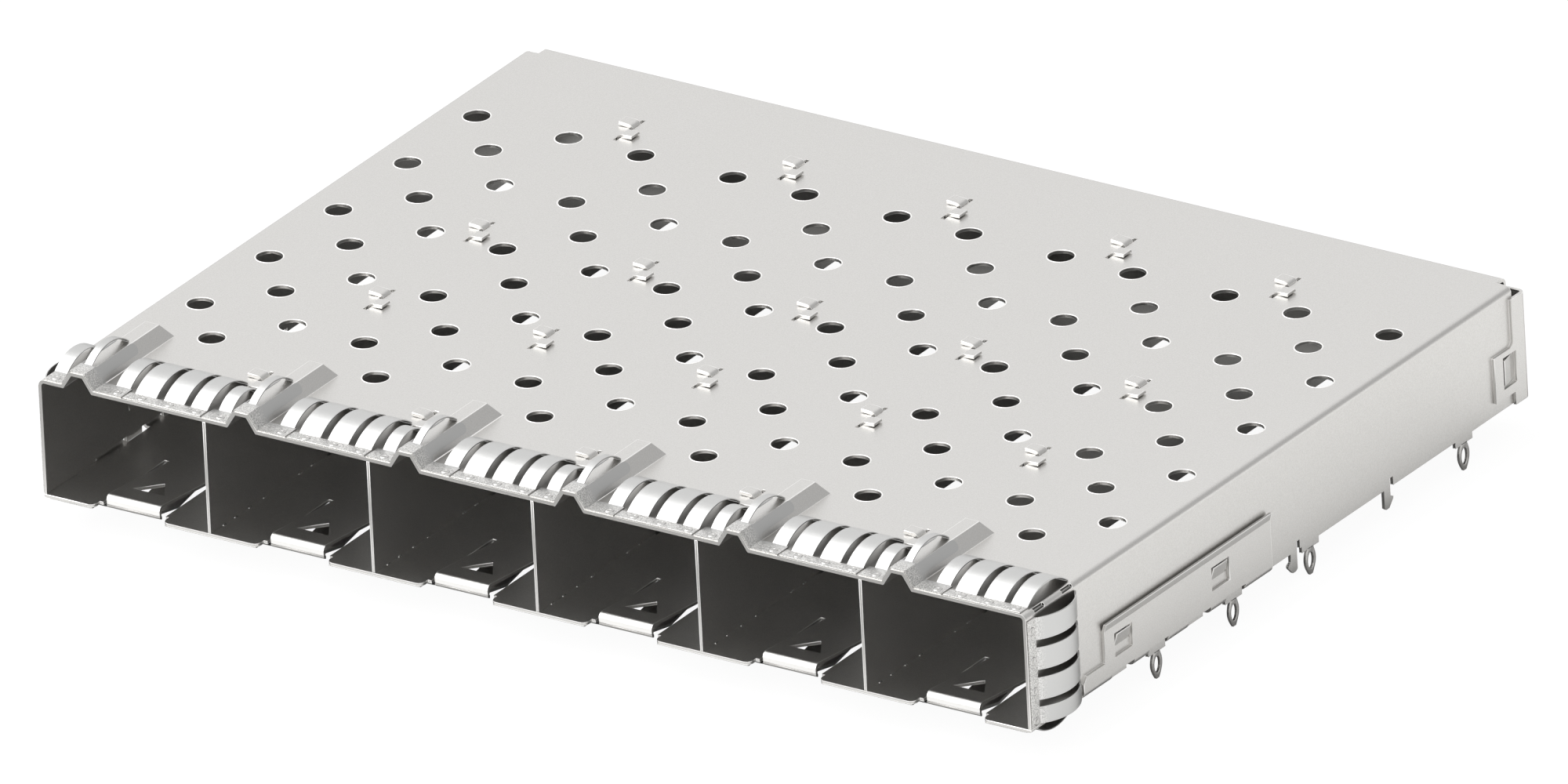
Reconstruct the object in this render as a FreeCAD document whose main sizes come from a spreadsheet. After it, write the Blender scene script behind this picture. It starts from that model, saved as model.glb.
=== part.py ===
import FreeCAD, Part
import math
import os

import Sketcher

# A ganged transceiver cage: a row of bays side by side, folded from thin sheet.
# X runs along the front with 0 at the middle of the row, Y runs back from the front
# rim, and Z is up from the board that the shoulders of the press-fit pins sit on.

dimensions = {
    # the row of bays
    "bay_count": 6,
    "bay_pitch": 14.25,
    "bay_height": 8.9,
    "floor_height": 0.5,
    "sheet": 0.25,
    "bend": 0.5,
    # top cover
    "side_length": 63.25,
    "roof_length": 64.45,
    "tail_inset": 1.275,
    "rear_flange": 2.6,
    "wall_lift": 0.3,
    # the raised channel over each bay
    "channel_from_left": 3.25,
    "channel_base": 2.7,
    "channel_crown": 1.2,
    "channel_rise": 1.13,
    "channel_length": 10.75,
    "channel_crown_length": 9.9,
    # ventilation holes, in three columns over each bay
    "vent_diameter": 2.0,
    "vent_column_pitch": 4.0,
    "vent_row_pitch": 9.0,
    "vent_rows": 5,
    "vent_first_row": 16.25,
    "vent_stagger": 4.5,
    # relief windows in the front corners
    "corner_window": 0.33,
    "corner_window_first": 1.3,
    "corner_window_length": 1.3,
    "corner_window_pitch": 3.6,
    # dividers and their folded tabs
    "divider_length": 64.1,
    "tab_width": 1.05,
    "tab_gap": 0.65,
    "tab_reach": 1.15,
    "tab_bend": 0.4,
    "tab_lift": 0.08,
    "tab_slot_width": 0.35,
    "tab_slot_length": 3.8,
    "tab_pair_1": 7.1,
    "tab_pair_2": 22.9,
    "tab_pair_3": 35.9,
    "tab_pair_4": 55.4,
    # press-fit pins
    "pin_first": 16.33,
    "pin_pitch": 10.0,
    "shoulder_half": 1.1,
    "pin_neck_half": 0.4,
    "pin_eye_half": 0.65,
    "pin_leg": 0.28,
    "pin_tip_half": 0.17,
    "pin_length": 2.1,
    "eye_top": 0.35,
    "eye_bottom": 1.65,
    "pin_clearance": 0.15,
    # board hooks
    "hook_first": 33.8,
    "hook_second": 45.95,
    "hook_stem": 0.8,
    "hook_length": 1.1,
    "hook_barb": 0.35,
    "hook_slot": 0.4,
    "hook_slot_top": 1.2,
    # floor plate
    "floor_length": 31.1,
    "flange_front": 6.6,
    "flange_step": 9.45,
    "flange_low": 1.93,
    "flange_top": 5.05,
    "flare_rise": 0.6,
    "flare_out": 0.2,
    "notch_depth": 0.45,
    "notch_top": 0.8,
    # feet of the side walls that show through the notches
    "foot_first": 10.4,
    "foot_pitch": 9.95,
    "foot_length": 2.0,
    "foot_bottom": 0.35,
    # catches: windows in the outer sheet and lanced tabs in the wall
    "catch_window": 2.3,
    "catch_first": 10.75,
    "catch_second": 23.35,
    "catch_bottom": 1.93,
    "catch_top": 3.8,
    "catch_root": 2.65,
    "catch_margin": 0.25,
    "catch_out": 0.3,
    # latch tongues in the front lip
    "lip_half": 3.0,
    "lip_depth": 0.9,
    "lip_corner": 0.5,
    "tongue_half": 2.3,
    "tongue_slit": 0.4,
    "tongue_root": 8.9,
    "tongue_crest_z": 1.25,
    "tongue_front": 0.72,
    "tongue_front_low": 0.45,
    "tongue_roll": 0.45,
    "latch_front": 2.8,
    "latch_rear": 4.9,
    "latch_half": 1.4,
    # rear cover
    "rear_bottom": 0.45,
    "rear_top": 8.8,
    "rear_wrap": 62.8,
    "rear_tab_front": 60.3,
    "rear_tab_bottom": 1.5,
    "rear_tab_top": 5.1,
    "rear_window_front": 61.4,
    "rear_window_rear": 63.1,
    "rear_window_bottom": 2.2,
    "rear_window_top": 4.7,
    # spring strips around the front
    "spring_sheet": 0.1,
    "spring_front": 0.1,
    "channel_strip_rear": 1.6,
    "strip_rear": 1.1,
    "finger_end": 6.4,
    "finger_facets": 7,
    "finger_rise": 1.0,
    "channel_finger_rise": 0.9,
    "channel_strip_overhang": 0.2,
    "corner_strip_left": 0.3,
    "channel_strip_right": 7.0,
    "strip_gap": 0.15,
    "flap_length": 6.5,
    "flap_drop": 0.75,
    "left_finger": 0.25,
    "left_finger_width": 1.1,
    "crown_finger_width": 0.65,
    "right_finger": 5.6,
    "right_finger_width": 1.25,
    "finger_2": 7.56,
    "finger_2_width": 1.87,
    "finger_3": 10.05,
    "finger_3_width": 1.8,
    "finger_4": 12.4,
    "finger_4_width": 1.45,
    "top_strip_right": 13.85,
    "side_finger_first": 0.6,
    "side_finger_first_width": 1.35,
    "side_finger_second": 2.48,
    "side_finger_pitch": 2.385,
    "side_finger_width": 1.8,
    "side_strip_top": 9.1,
    "lower_finger_width": 1.65,
    "lower_finger_gap": 0.45,
}

doc = FreeCAD.newDocument("transceiver_cage")
sheet_of_sizes = doc.addObject("Spreadsheet::Sheet", "Sizes")


class Size:
    """A length that knows its value and the sheet expression that gives it."""

    def __init__(self, text, value):
        self.text = text
        self.value = value

    def __add__(self, other):
        other = as_size(other)
        return Size("(%s + %s)" % (self.text, other.text), self.value + other.value)

    def __radd__(self, other):
        return as_size(other) + self

    def __sub__(self, other):
        other = as_size(other)
        return Size("(%s - %s)" % (self.text, other.text), self.value - other.value)

    def __rsub__(self, other):
        return as_size(other) - self

    def __mul__(self, other):
        other = as_size(other)
        return Size("(%s * %s)" % (self.text, other.text), self.value * other.value)

    def __rmul__(self, other):
        return as_size(other) * self

    def __truediv__(self, other):
        other = as_size(other)
        return Size("(%s / %s)" % (self.text, other.text), self.value / other.value)

    def __neg__(self):
        return 0 - self


def as_size(value):
    if isinstance(value, Size):
        return value
    return Size(repr(float(value)), float(value))


def root(size):
    return Size("sqrt(%s)" % size.text, math.sqrt(size.value))


def sine(degrees):
    return Size("sin(%s * 1 deg)" % degrees.text, math.sin(math.radians(degrees.value)))


def cosine(degrees):
    return Size("cos(%s * 1 deg)" % degrees.text, math.cos(math.radians(degrees.value)))


def arc_tangent(slope):
    """An angle in plain degrees."""
    return Size("(atan(%s) / 1 deg)" % slope.text, math.degrees(math.atan(slope.value)))


def fill_sheet():
    """Write each driving dimension to the sheet and return them as sizes."""
    table = {}
    for row, (alias, value) in enumerate(dimensions.items(), start=1):
        sheet_of_sizes.set("A%d" % row, alias)
        sheet_of_sizes.set("B%d" % row, str(value))
        sheet_of_sizes.setAlias("B%d" % row, alias)
        table[alias] = Size("Sizes." + alias, value)
    doc.recompute()
    return table


size = fill_sheet()
cuts = []

bay_total = dimensions["bay_count"]
pitch = size["bay_pitch"]
sheet = size["sheet"]
bend = size["bend"]
floor = size["floor_height"]
under_floor = floor - sheet
under_roof = floor + size["bay_height"]
roof = under_roof + sheet
row_left = -(size["bay_count"] * pitch) / 2
half = size["bay_count"] * pitch / 2 + sheet / 2
half_inside = half - sheet
half_outside = half + sheet
spare = sheet * 4


def bay_left(number):
    return row_left + pitch * number


def new_body(name):
    body = doc.addObject("PartDesign::Body", name)
    body.Label = name
    return body


class Drawing:
    """A sketch on one of a body's own origin planes, with its constraints added in one go."""

    def __init__(self, body, name, plane, offset=None):
        self.name = name
        self.sketch = body.newObject("Sketcher::SketchObject", name)
        support = [item for item in body.Origin.OriginFeatures if item.Role == plane][0]
        self.sketch.AttachmentSupport = [(support, "")]
        self.sketch.MapMode = "FlatFace"
        if offset is not None:
            self.sketch.setExpression("AttachmentOffset.Base.z", as_size(offset).text)
        self.constraints = []
        self.texts = {}

    def add(self, geometry, construction=False):
        return self.sketch.addGeometry(geometry, construction)

    def starts_at(self, arc, place):
        """The number of the arc's end that lies at a place, 1 or 2."""
        near = self.sketch.getPoint(arc, 1).distanceToPoint(place)
        far = self.sketch.getPoint(arc, 2).distanceToPoint(place)
        return 1 if near < far else 2

    def join(self, kind, *where):
        self.constraints.append(Sketcher.Constraint(kind, *where))

    def bind(self, kind, where, value):
        """Add a dimension that is bound to the sheet."""
        value = as_size(value)
        self.texts[len(self.constraints)] = value.text
        self.constraints.append(Sketcher.Constraint(kind, *where, value.value))

    def fix(self, geometry, end, across, up):
        self.bind("DistanceX", (-1, 1, geometry, end), across)
        self.bind("DistanceY", (-1, 1, geometry, end), up)

    def finish(self):
        self.sketch.addConstraint(self.constraints)
        for index, text in self.texts.items():
            self.sketch.setExpression("Constraints[%d]" % index, text)
        return self.sketch


def point_of(corner):
    return FreeCAD.Vector(as_size(corner[0]).value, as_size(corner[1]).value, 0)


def outline(sketch, corners):
    """Draw a closed outline through corners, each (across, up) or (across, up, radius)."""
    count = len(corners)
    points = [point_of(corner) for corner in corners]
    entries = []
    exits = []
    for index, here in enumerate(points):
        cut = 0
        back = (points[index - 1] - here).normalize()
        onward = (points[(index + 1) % count] - here).normalize()
        if len(corners[index]) > 2:
            cut = as_size(corners[index][2]).value / math.tan(back.getAngle(onward) / 2)
        entries.append(here + back * cut)
        exits.append(here + onward * cut)
    lines = []
    for index in range(count):
        segment = Part.LineSegment(exits[index], entries[(index + 1) % count])
        lines.append(sketch.add(segment))
    for index, corner in enumerate(corners):
        before = lines[index - 1]
        after = lines[index]
        if len(corner) == 2:
            sketch.join("Coincident", before, 2, after, 1)
            sketch.fix(after, 1, corner[0], corner[1])
        else:
            round_corner(sketch, points[index], entries[index], exits[index], before, after, corner)


def round_corner(sketch, here, entry, leave, before, after, corner):
    """Join two lines by a tangent arc whose sharp corner stays on its dimensions."""
    radius = as_size(corner[2])
    inward = ((entry - here).normalize() + (leave - here).normalize()).normalize()
    reach = math.hypot(radius.value, (entry - here).Length)
    centre = here + inward * reach
    middle = centre - inward * radius.value
    arc = sketch.add(Part.Arc(entry, middle, leave))
    start = sketch.starts_at(arc, entry)
    sketch.join("Tangent", before, 2, arc, start)
    sketch.join("Tangent", after, 1, arc, 3 - start)
    sketch.bind("Radius", (arc,), radius)
    mark = sketch.add(Part.Point(here), True)
    sketch.join("PointOnObject", mark, 1, before)
    sketch.join("PointOnObject", mark, 1, after)
    sketch.fix(mark, 1, corner[0], corner[1])


def rectangle(sketch, left, right, low, high):
    outline(sketch, [(left, low), (right, low), (right, high), (left, high)])


def circle(sketch, across, up, diameter):
    place = FreeCAD.Vector(as_size(across).value, as_size(up).value, 0)
    shape = Part.Circle(place, FreeCAD.Vector(0, 0, 1), as_size(diameter).value / 2)
    index = sketch.add(shape)
    sketch.bind("Diameter", (index,), diameter)
    sketch.fix(index, 3, across, up)


def pad(body, sketch, length, backwards=False, both=False):
    """Give a sketch thickness along its plane's normal, against it, or to both sides."""
    feature = body.newObject("PartDesign::Pad", sketch.name + "_pad")
    feature.Profile = sketch.finish()
    feature.setExpression("Length", as_size(length).text)
    feature.Reversed = backwards
    if both:
        feature.SideType = "Symmetric"
    return feature


def pocket(body, sketch, length, along=False, both=False):
    """Cut a sketch against its plane's normal, along it, or to both sides."""
    feature = body.newObject("PartDesign::Pocket", sketch.name + "_cut")
    feature.Profile = sketch.finish()
    feature.setExpression("Length", as_size(length).text)
    feature.Reversed = along
    if both:
        feature.SideType = "Symmetric"
    cuts.append(feature)
    return feature


def axis_of(body, role):
    return [item for item in body.Origin.OriginFeatures if item.Role == role][0]


def row_of(body, feature, count, step):
    """Repeat a feature along X."""
    pattern = body.newObject("PartDesign::LinearPattern", feature.Name + "_row")
    pattern.Originals = [feature]
    pattern.Direction = (axis_of(body, "X_Axis"), [""])
    pattern.setExpression("Length", ((count - 1) * step).text)
    pattern.setExpression("Occurrences", count.text)
    body.Tip = pattern
    return pattern


def mirror_of(body, *features):
    """Repeat features on the other side of the middle plane."""
    mirror = body.newObject("PartDesign::Mirrored", features[0].Name + "_mirror")
    mirror.Originals = list(features)
    mirror.MirrorPlane = (axis_of(body, "YZ_Plane"), [""])
    body.Tip = mirror
    return mirror


def channel_inset(run, rise, thickness):
    """How far a parallel face of a slope lies inside it, at the parallel level."""
    slope = run / rise
    return thickness * (root(1 + slope * slope) - slope)


channel_run = (size["channel_base"] - size["channel_crown"]) / 2
channel_hip = size["channel_length"] - size["channel_crown_length"]
channel_top = roof + size["channel_rise"]
channel_middle = row_left + size["channel_from_left"]


def channel_wedge(body, kind, name, insets, low, high):
    """A channel's outer or inner form: sloped sides and rear end, open at the front rim."""
    side_inset, hip_inset = insets
    base_half = size["channel_base"] / 2 - side_inset
    crown_half = size["channel_crown"] / 2 - side_inset
    wedge = body.newObject("PartDesign::" + kind, name)
    wedge.AttachmentSupport = [(axis_of(body, "XZ_Plane"), "")]
    wedge.MapMode = "FlatFace"
    ends = {
        "Xmin": channel_middle - base_half, "Xmax": channel_middle + base_half,
        "X2min": channel_middle - crown_half, "X2max": channel_middle + crown_half,
        "Ymin": low, "Ymax": high,
        "Zmin": hip_inset - size["channel_length"],
        "Z2min": hip_inset - size["channel_crown_length"],
    }
    wedge.Zmax = 0
    wedge.Z2max = 0
    for name_of_end, value in ends.items():
        setattr(wedge, name_of_end, value.value)
        wedge.setExpression(name_of_end, value.text)
    return wedge


def pin_places():
    first = size["pin_first"]
    step = size["pin_pitch"]
    return [first, first + step, first + step * 2, first + step * 4]


def draw_pin(sketch, place, seat_top):
    """A shoulder that sits on the board and an eye-of-needle pin below it."""
    shoulder = size["shoulder_half"]
    neck = size["pin_neck_half"]
    eye = size["pin_eye_half"]
    tip = size["pin_tip_half"]
    end = -size["pin_length"]
    top = -size["eye_top"] * 2
    bottom = -(size["eye_bottom"] - size["eye_top"])
    outline(sketch, [
        (place - shoulder, seat_top), (place - shoulder, 0), (place - neck, 0),
        (place - eye, top), (place - eye, bottom), (place - tip, end),
        (place + tip, end), (place + eye, bottom), (place + eye, top),
        (place + neck, 0), (place + shoulder, 0), (place + shoulder, seat_top)])
    slot = eye - size["pin_leg"]
    outline(sketch, [
        (place, -size["eye_top"]), (place - slot, top), (place - slot, bottom),
        (place, -size["eye_bottom"]), (place + slot, bottom), (place + slot, top)])


def draw_hook(sketch, place, side):
    """A stem with a barb that holds the cage on the board before soldering."""
    stem = size["hook_stem"]
    barb = size["hook_barb"]
    low = -size["hook_length"]
    edge = place if side < 0 else place + stem
    plain = place + stem if side < 0 else place
    slope = barb / 2
    outline(sketch, [
        (plain, size["hook_slot_top"]), (edge, size["hook_slot_top"]), (edge, -slope),
        (edge + barb * side, -slope - slope), (edge + barb * side, -slope - barb),
        (edge - stem / 4 * side, low), (plain + stem / 4 * side, low), (plain, low + slope)])


def catch_places():
    window = size["catch_window"]
    return [size["catch_first"] + window / 2, size["catch_second"] + window / 2]


def build_top_cover():
    """Roof and both side walls, folded as one piece, with a rear flange."""
    body = new_body("top_cover")
    section = Drawing(body, "cover_section", "XZ_Plane")
    outline(section, [
        (-half, floor), (-half, roof, bend), (half, roof, bend), (half, floor),
        (half_inside, floor), (half_inside, under_roof, bend - sheet),
        (-half_inside, under_roof, bend - sheet), (-half_inside, floor)])
    pad(body, section, size["side_length"], backwards=True)

    tail = Drawing(body, "cover_tail", "YZ_Plane")
    rear = size["roof_length"]
    flange_bottom = roof - size["rear_flange"]
    outline(tail, [
        (size["side_length"], roof), (rear, roof, bend), (rear, flange_bottom),
        (rear - sheet, flange_bottom), (rear - sheet, under_roof, bend - sheet),
        (size["side_length"], under_roof)])
    pad(body, tail, (half - size["tail_inset"]) * 2, both=True)

    add_wall_openings(body)
    edge = add_wall_edge(body)
    mirror_of(body, edge, *add_wall_catches(body))
    add_channels(body)
    add_roof_holes(body)
    return body


def add_wall_openings(body):
    """Cut both walls: the raised lower edge, the hooks' slots and the catches' openings."""
    cut = Drawing(body, "wall_openings", "YZ_Plane")
    rectangle(cut, size["flange_front"] - sheet, size["floor_length"] + sheet,
              floor - sheet, floor + size["wall_lift"])
    for place in (size["hook_first"], size["hook_second"]):
        outer = place + size["hook_stem"] + size["hook_slot"]
        rectangle(cut, place, outer, floor - sheet, size["hook_slot_top"])
    margin = size["catch_margin"]
    width = size["catch_window"] - margin
    for place in catch_places():
        rectangle(cut, place - width / 2, place + width / 2,
                  size["catch_root"], size["catch_top"] + margin / 2)
    rectangle(cut, size["rear_window_front"] - margin / 2, size["rear_window_rear"] - margin,
              size["rear_window_bottom"] + margin / 2, size["rear_window_top"] - margin / 2)
    pocket(body, cut, half * 2 + spare, both=True)


def add_wall_edge(body):
    """Pins, hooks and feet along the lower edge of the right wall."""
    edge = Drawing(body, "wall_edge", "YZ_Plane", half_inside)
    for number, place in enumerate(pin_places(), start=1):
        seat_top = floor
        if number <= 2:
            seat_top = floor + size["wall_lift"]
        draw_pin(edge, place, seat_top)
    draw_hook(edge, size["hook_first"], -1)
    draw_hook(edge, size["hook_second"], 1)
    for number in range(2):
        start = size["foot_first"] + size["foot_pitch"] * number
        rectangle(edge, start, start + size["foot_length"],
                  size["foot_bottom"], floor + size["wall_lift"])
    return pad(body, edge, sheet)


def add_wall_catches(body):
    """Lanced tabs that spring out into the windows of the floor plate and rear cover."""
    margin = size["catch_margin"]
    out = size["catch_out"]
    low = size["catch_root"]
    high = size["catch_top"] - margin / 2
    width = size["catch_window"] - margin * 2
    tabs = []
    for number, place in enumerate(catch_places(), start=1):
        tab = Drawing(body, "catch_tab_%d" % number, "XZ_Plane", -(place - width / 2))
        outline(tab, [(half_inside, low), (half, low), (half + out, high), (half_inside + out, high)])
        tabs.append(pad(body, tab, width, backwards=True))
    front = size["rear_window_front"] + margin / 2
    back = size["rear_window_rear"] - margin
    base = size["rear_window_bottom"] + margin
    tab = Drawing(body, "rear_catch_tab", "XY_Plane", base)
    outline(tab, [(half_inside, back), (half, back), (half + out, front), (half_inside + out, front)])
    tabs.append(pad(body, tab, size["rear_window_top"] - margin - base))
    return tabs


def add_channels(body):
    insets = (channel_inset(channel_run, size["channel_rise"], sheet),
              channel_inset(channel_hip, size["channel_rise"], sheet))
    outer = channel_wedge(body, "AdditiveWedge", "channel_outer", (0, 0), roof, channel_top)
    row_of(body, outer, size["bay_count"], pitch)
    inner = channel_wedge(body, "SubtractiveWedge", "channel_inner", insets,
                          under_roof, channel_top - sheet)
    row_of(body, inner, size["bay_count"], pitch)


def add_roof_holes(body):
    """Vent holes, slots for the dividers' tabs and relief windows in the corners."""
    slots = Drawing(body, "tab_slots", "XY_Plane", roof)
    for number in range(1, 5):
        place = size["tab_pair_%d" % number]
        rectangle(slots, bay_left(1) - size["tab_slot_width"] / 2,
                  bay_left(1) + size["tab_slot_width"] / 2,
                  place - size["tab_slot_length"] / 2, place + size["tab_slot_length"] / 2)
    row_of(body, pocket(body, slots, sheet), size["bay_count"] - 1, pitch)

    windows = Drawing(body, "corner_windows", "XY_Plane", roof)
    for number in range(2):
        start = size["corner_window_first"] + size["corner_window_pitch"] * number
        rectangle(windows, half - size["corner_window"], half + spare,
                  start, start + size["corner_window_length"])
    mirror_of(body, pocket(body, windows, size["corner_window"]))

    vents = Drawing(body, "vents", "XY_Plane", roof)
    middle = row_left + pitch / 2
    for column in (-1, 0, 1):
        across = middle + size["vent_column_pitch"] * column
        start = size["vent_first_row"]
        if column == 0:
            start = start - size["vent_stagger"]
        for number in range(dimensions["vent_rows"]):
            circle(vents, across, start + size["vent_row_pitch"] * number, size["vent_diameter"])
    row_of(body, pocket(body, vents, sheet), size["bay_count"], pitch)


def build_floor_plate():
    """Front floor with upturned flanges outside the walls and a latch tongue in each bay."""
    body = new_body("floor_plate")
    flare_low = size["flange_top"] - size["flare_rise"]
    flare = size["flare_out"]
    section = Drawing(body, "floor_section", "XZ_Plane")
    outline(section, [
        (-half_outside, under_floor, bend), (half_outside, under_floor, bend),
        (half_outside, flare_low), (half_outside + flare, size["flange_top"]),
        (half + flare, size["flange_top"]), (half, flare_low), (half, floor, bend - sheet),
        (-half, floor, bend - sheet), (-half, flare_low), (-half - flare, size["flange_top"]),
        (-half_outside - flare, size["flange_top"]), (-half_outside, flare_low)])
    pad(body, section, size["floor_length"], backwards=True)

    wide = (half_outside + flare) * 2 + spare
    side = Drawing(body, "flange_front_cut", "YZ_Plane")
    front = size["flange_front"]
    high = size["flange_top"] + spare
    outline(side, [
        (-spare, floor), (front, floor), (front, size["flange_low"] - bend),
        (front + bend, size["flange_low"]), (size["flange_step"], size["flange_low"]),
        (size["flange_step"], high), (-spare, high)])
    pocket(body, side, wide, both=True)

    corner = Drawing(body, "front_corner_cut", "XY_Plane", floor)
    rectangle(corner, half, half_outside + spare, -spare, front)
    mirror_of(body, pocket(body, corner, spare))

    windows = Drawing(body, "catch_windows", "YZ_Plane")
    for place in catch_places():
        rectangle(windows, place - size["catch_window"] / 2, place + size["catch_window"] / 2,
                  size["catch_bottom"], size["catch_top"])
    pocket(body, windows, wide, both=True)

    notches = Drawing(body, "edge_notches", "XY_Plane", size["notch_top"])
    inner = half - size["notch_depth"]
    outer = half_outside + spare
    clear = size["pin_clearance"]
    for place in pin_places()[:2]:
        rectangle(notches, inner, outer, place - size["shoulder_half"] - clear,
                  place + size["shoulder_half"] + clear)
    for number in range(2):
        start = size["foot_first"] + size["foot_pitch"] * number
        rectangle(notches, inner, outer, start - clear, start + size["foot_length"] + spare * 0.75)
    mirror_of(body, pocket(body, notches, spare))

    slots = Drawing(body, "pin_slots", "XY_Plane", floor)
    for place in pin_places()[:2]:
        rectangle(slots, bay_left(1) - sheet / 2 - clear, bay_left(1) + sheet / 2 + clear,
                  place - size["shoulder_half"] - clear, place + size["shoulder_half"] + clear)
    row_of(body, pocket(body, slots, sheet), size["bay_count"] - 1, pitch)

    add_tongues(body)
    return body


def add_tongues(body):
    """A springy latch tongue in each bay's lip, rolled down at its front end."""
    middle = row_left + pitch / 2
    lip = size["lip_half"]
    slit = size["tongue_half"] + size["tongue_slit"]
    corner = size["lip_corner"]
    beyond = lip + corner * 2
    opening = Drawing(body, "lip_opening", "XY_Plane", floor)
    outline(opening, [
        (middle - beyond, -spare), (middle + beyond, -spare), (middle + beyond, 0),
        (middle + lip, 0, corner), (middle + lip, size["lip_depth"]),
        (middle + slit, size["lip_depth"]), (middle + slit, size["tongue_root"]),
        (middle - slit, size["tongue_root"]), (middle - slit, size["lip_depth"]),
        (middle - lip, size["lip_depth"]), (middle - lip, 0, corner), (middle - beyond, 0)])
    row_of(body, pocket(body, opening, spare), size["bay_count"], pitch)

    root = size["tongue_root"]
    crest_z = size["tongue_crest_z"]
    front = size["tongue_front"]
    low = size["tongue_front_low"]
    roll = size["tongue_roll"]
    inner_z = crest_z - sheet - sheet * (crest_z - floor) / (root - front)
    profile = Drawing(body, "tongue_profile", "YZ_Plane", middle)
    outline(profile, [
        (root, under_floor), (root, floor), (front, crest_z, roll), (front, low),
        (front + sheet, low), (front + sheet, inner_z, roll - sheet)])
    row_of(body, pad(body, profile, size["tongue_half"] * 2, both=True), size["bay_count"], pitch)

    hole = Drawing(body, "latch_hole", "XY_Plane", crest_z)
    outline(hole, [
        (middle - size["latch_half"], size["latch_front"]),
        (middle + size["latch_half"], size["latch_front"]),
        (middle, size["latch_rear"])])
    row_of(body, pocket(body, hole, crest_z), size["bay_count"], pitch)


def build_divider(number):
    """A wall between two bays, with pins below and pairs of tabs folded over the roof."""
    name = "divider_%d" % number
    body = new_body(name)
    middle = bay_left(number)
    face = middle - sheet / 2
    plate = Drawing(body, name + "_plate", "YZ_Plane", face)
    rear = size["divider_length"]
    outline(plate, [(0, floor), (rear, floor), (rear, under_roof - bend),
                    (rear - bend, under_roof), (0, under_roof)])
    pad(body, plate, sheet)
    pins = Drawing(body, name + "_pins", "YZ_Plane", face)
    for place in pin_places():
        draw_pin(pins, place, floor)
    pad(body, pins, sheet)
    for pair in range(1, 5):
        place = size["tab_pair_%d" % pair]
        gap = size["tab_gap"] / 2
        add_tab(body, name + "_front_tab_%d" % pair, middle, place - gap - size["tab_width"], 1)
        add_tab(body, name + "_rear_tab_%d" % pair, middle, place + gap, -1)
    return body


def add_tab(body, name, middle, start, side):
    """A tab that stands through its slot and is folded flat on the roof."""
    lift = size["tab_lift"]
    inner = middle + sheet / 2 * side
    outer = middle - sheet / 2 * side
    end = middle + size["tab_reach"] * side
    sketch = Drawing(body, name, "XZ_Plane", -start)
    outline(sketch, [
        (outer, under_roof), (outer, roof + sheet, size["tab_bend"]),
        (end, roof + sheet + lift), (end, roof + lift), (inner, roof), (inner, under_roof)])
    return pad(body, sketch, size["tab_width"], backwards=True)


def build_rear_cover():
    """Rear wall that wraps around both side walls and clips over their catches."""
    body = new_body("rear_cover")
    front = size["rear_tab_front"]
    inside = size["roof_length"]
    outside = inside + sheet
    section = Drawing(body, "rear_section", "XY_Plane", size["rear_bottom"])
    outline(section, [
        (-half_outside, front), (-half, front), (-half, inside, bend - sheet),
        (half, inside, bend - sheet), (half, front), (half_outside, front),
        (half_outside, outside, bend), (-half_outside, outside, bend)])
    pad(body, section, size["rear_top"] - size["rear_bottom"])

    wide = half_outside * 2 + spare
    trim = Drawing(body, "rear_wrap_cut", "YZ_Plane")
    wrap = size["rear_wrap"]
    high = size["rear_tab_top"]
    low = size["rear_tab_bottom"]
    outline(trim, [(front - spare, high), (wrap, high, bend), (wrap, size["rear_top"] + spare),
                   (front - spare, size["rear_top"] + spare)])
    outline(trim, [(front - spare, size["rear_bottom"] - spare), (wrap, size["rear_bottom"] - spare),
                   (wrap, low), (front - spare, low)])
    pocket(body, trim, wide, both=True)
    window = Drawing(body, "rear_windows", "YZ_Plane")
    rectangle(window, size["rear_window_front"], size["rear_window_rear"],
              size["rear_window_bottom"], size["rear_window_top"])
    pocket(body, window, wide, both=True)
    return body


def add_fingers(body, name, plane, offset, width, start, base, rise, place, end=size["finger_end"]):
    """A bowed band from a strip's rear edge to its tip, in flat facets along two like arcs."""
    facets = dimensions["finger_facets"]
    chord = end - start
    radius = (chord * chord / 4 + rise * rise) / (rise * 2)
    half_turn = as_size(2) * arc_tangent(rise * 2 / chord)
    thickness = size["spring_sheet"]
    inner = []
    outer = []
    for index in range(facets + 1):
        turn = half_turn * (2 * index / facets - 1)
        along = start + chord / 2 + radius * sine(turn)
        out = rise - radius * (1 - cosine(turn))
        inner.append(place(along, base, out))
        outer.append(place(along, base, out + thickness))
    band = Drawing(body, name, plane, offset)
    outline(band, inner + outer[::-1])
    return pad(body, band, width)


def above(along, base, out):
    return (along, base + out)


def below(along, base, out):
    return (along, base - out)


def to_the_right(along, base, out):
    return (base + out, along)


def to_the_left(along, base, out):
    return (base - out, along)


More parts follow.
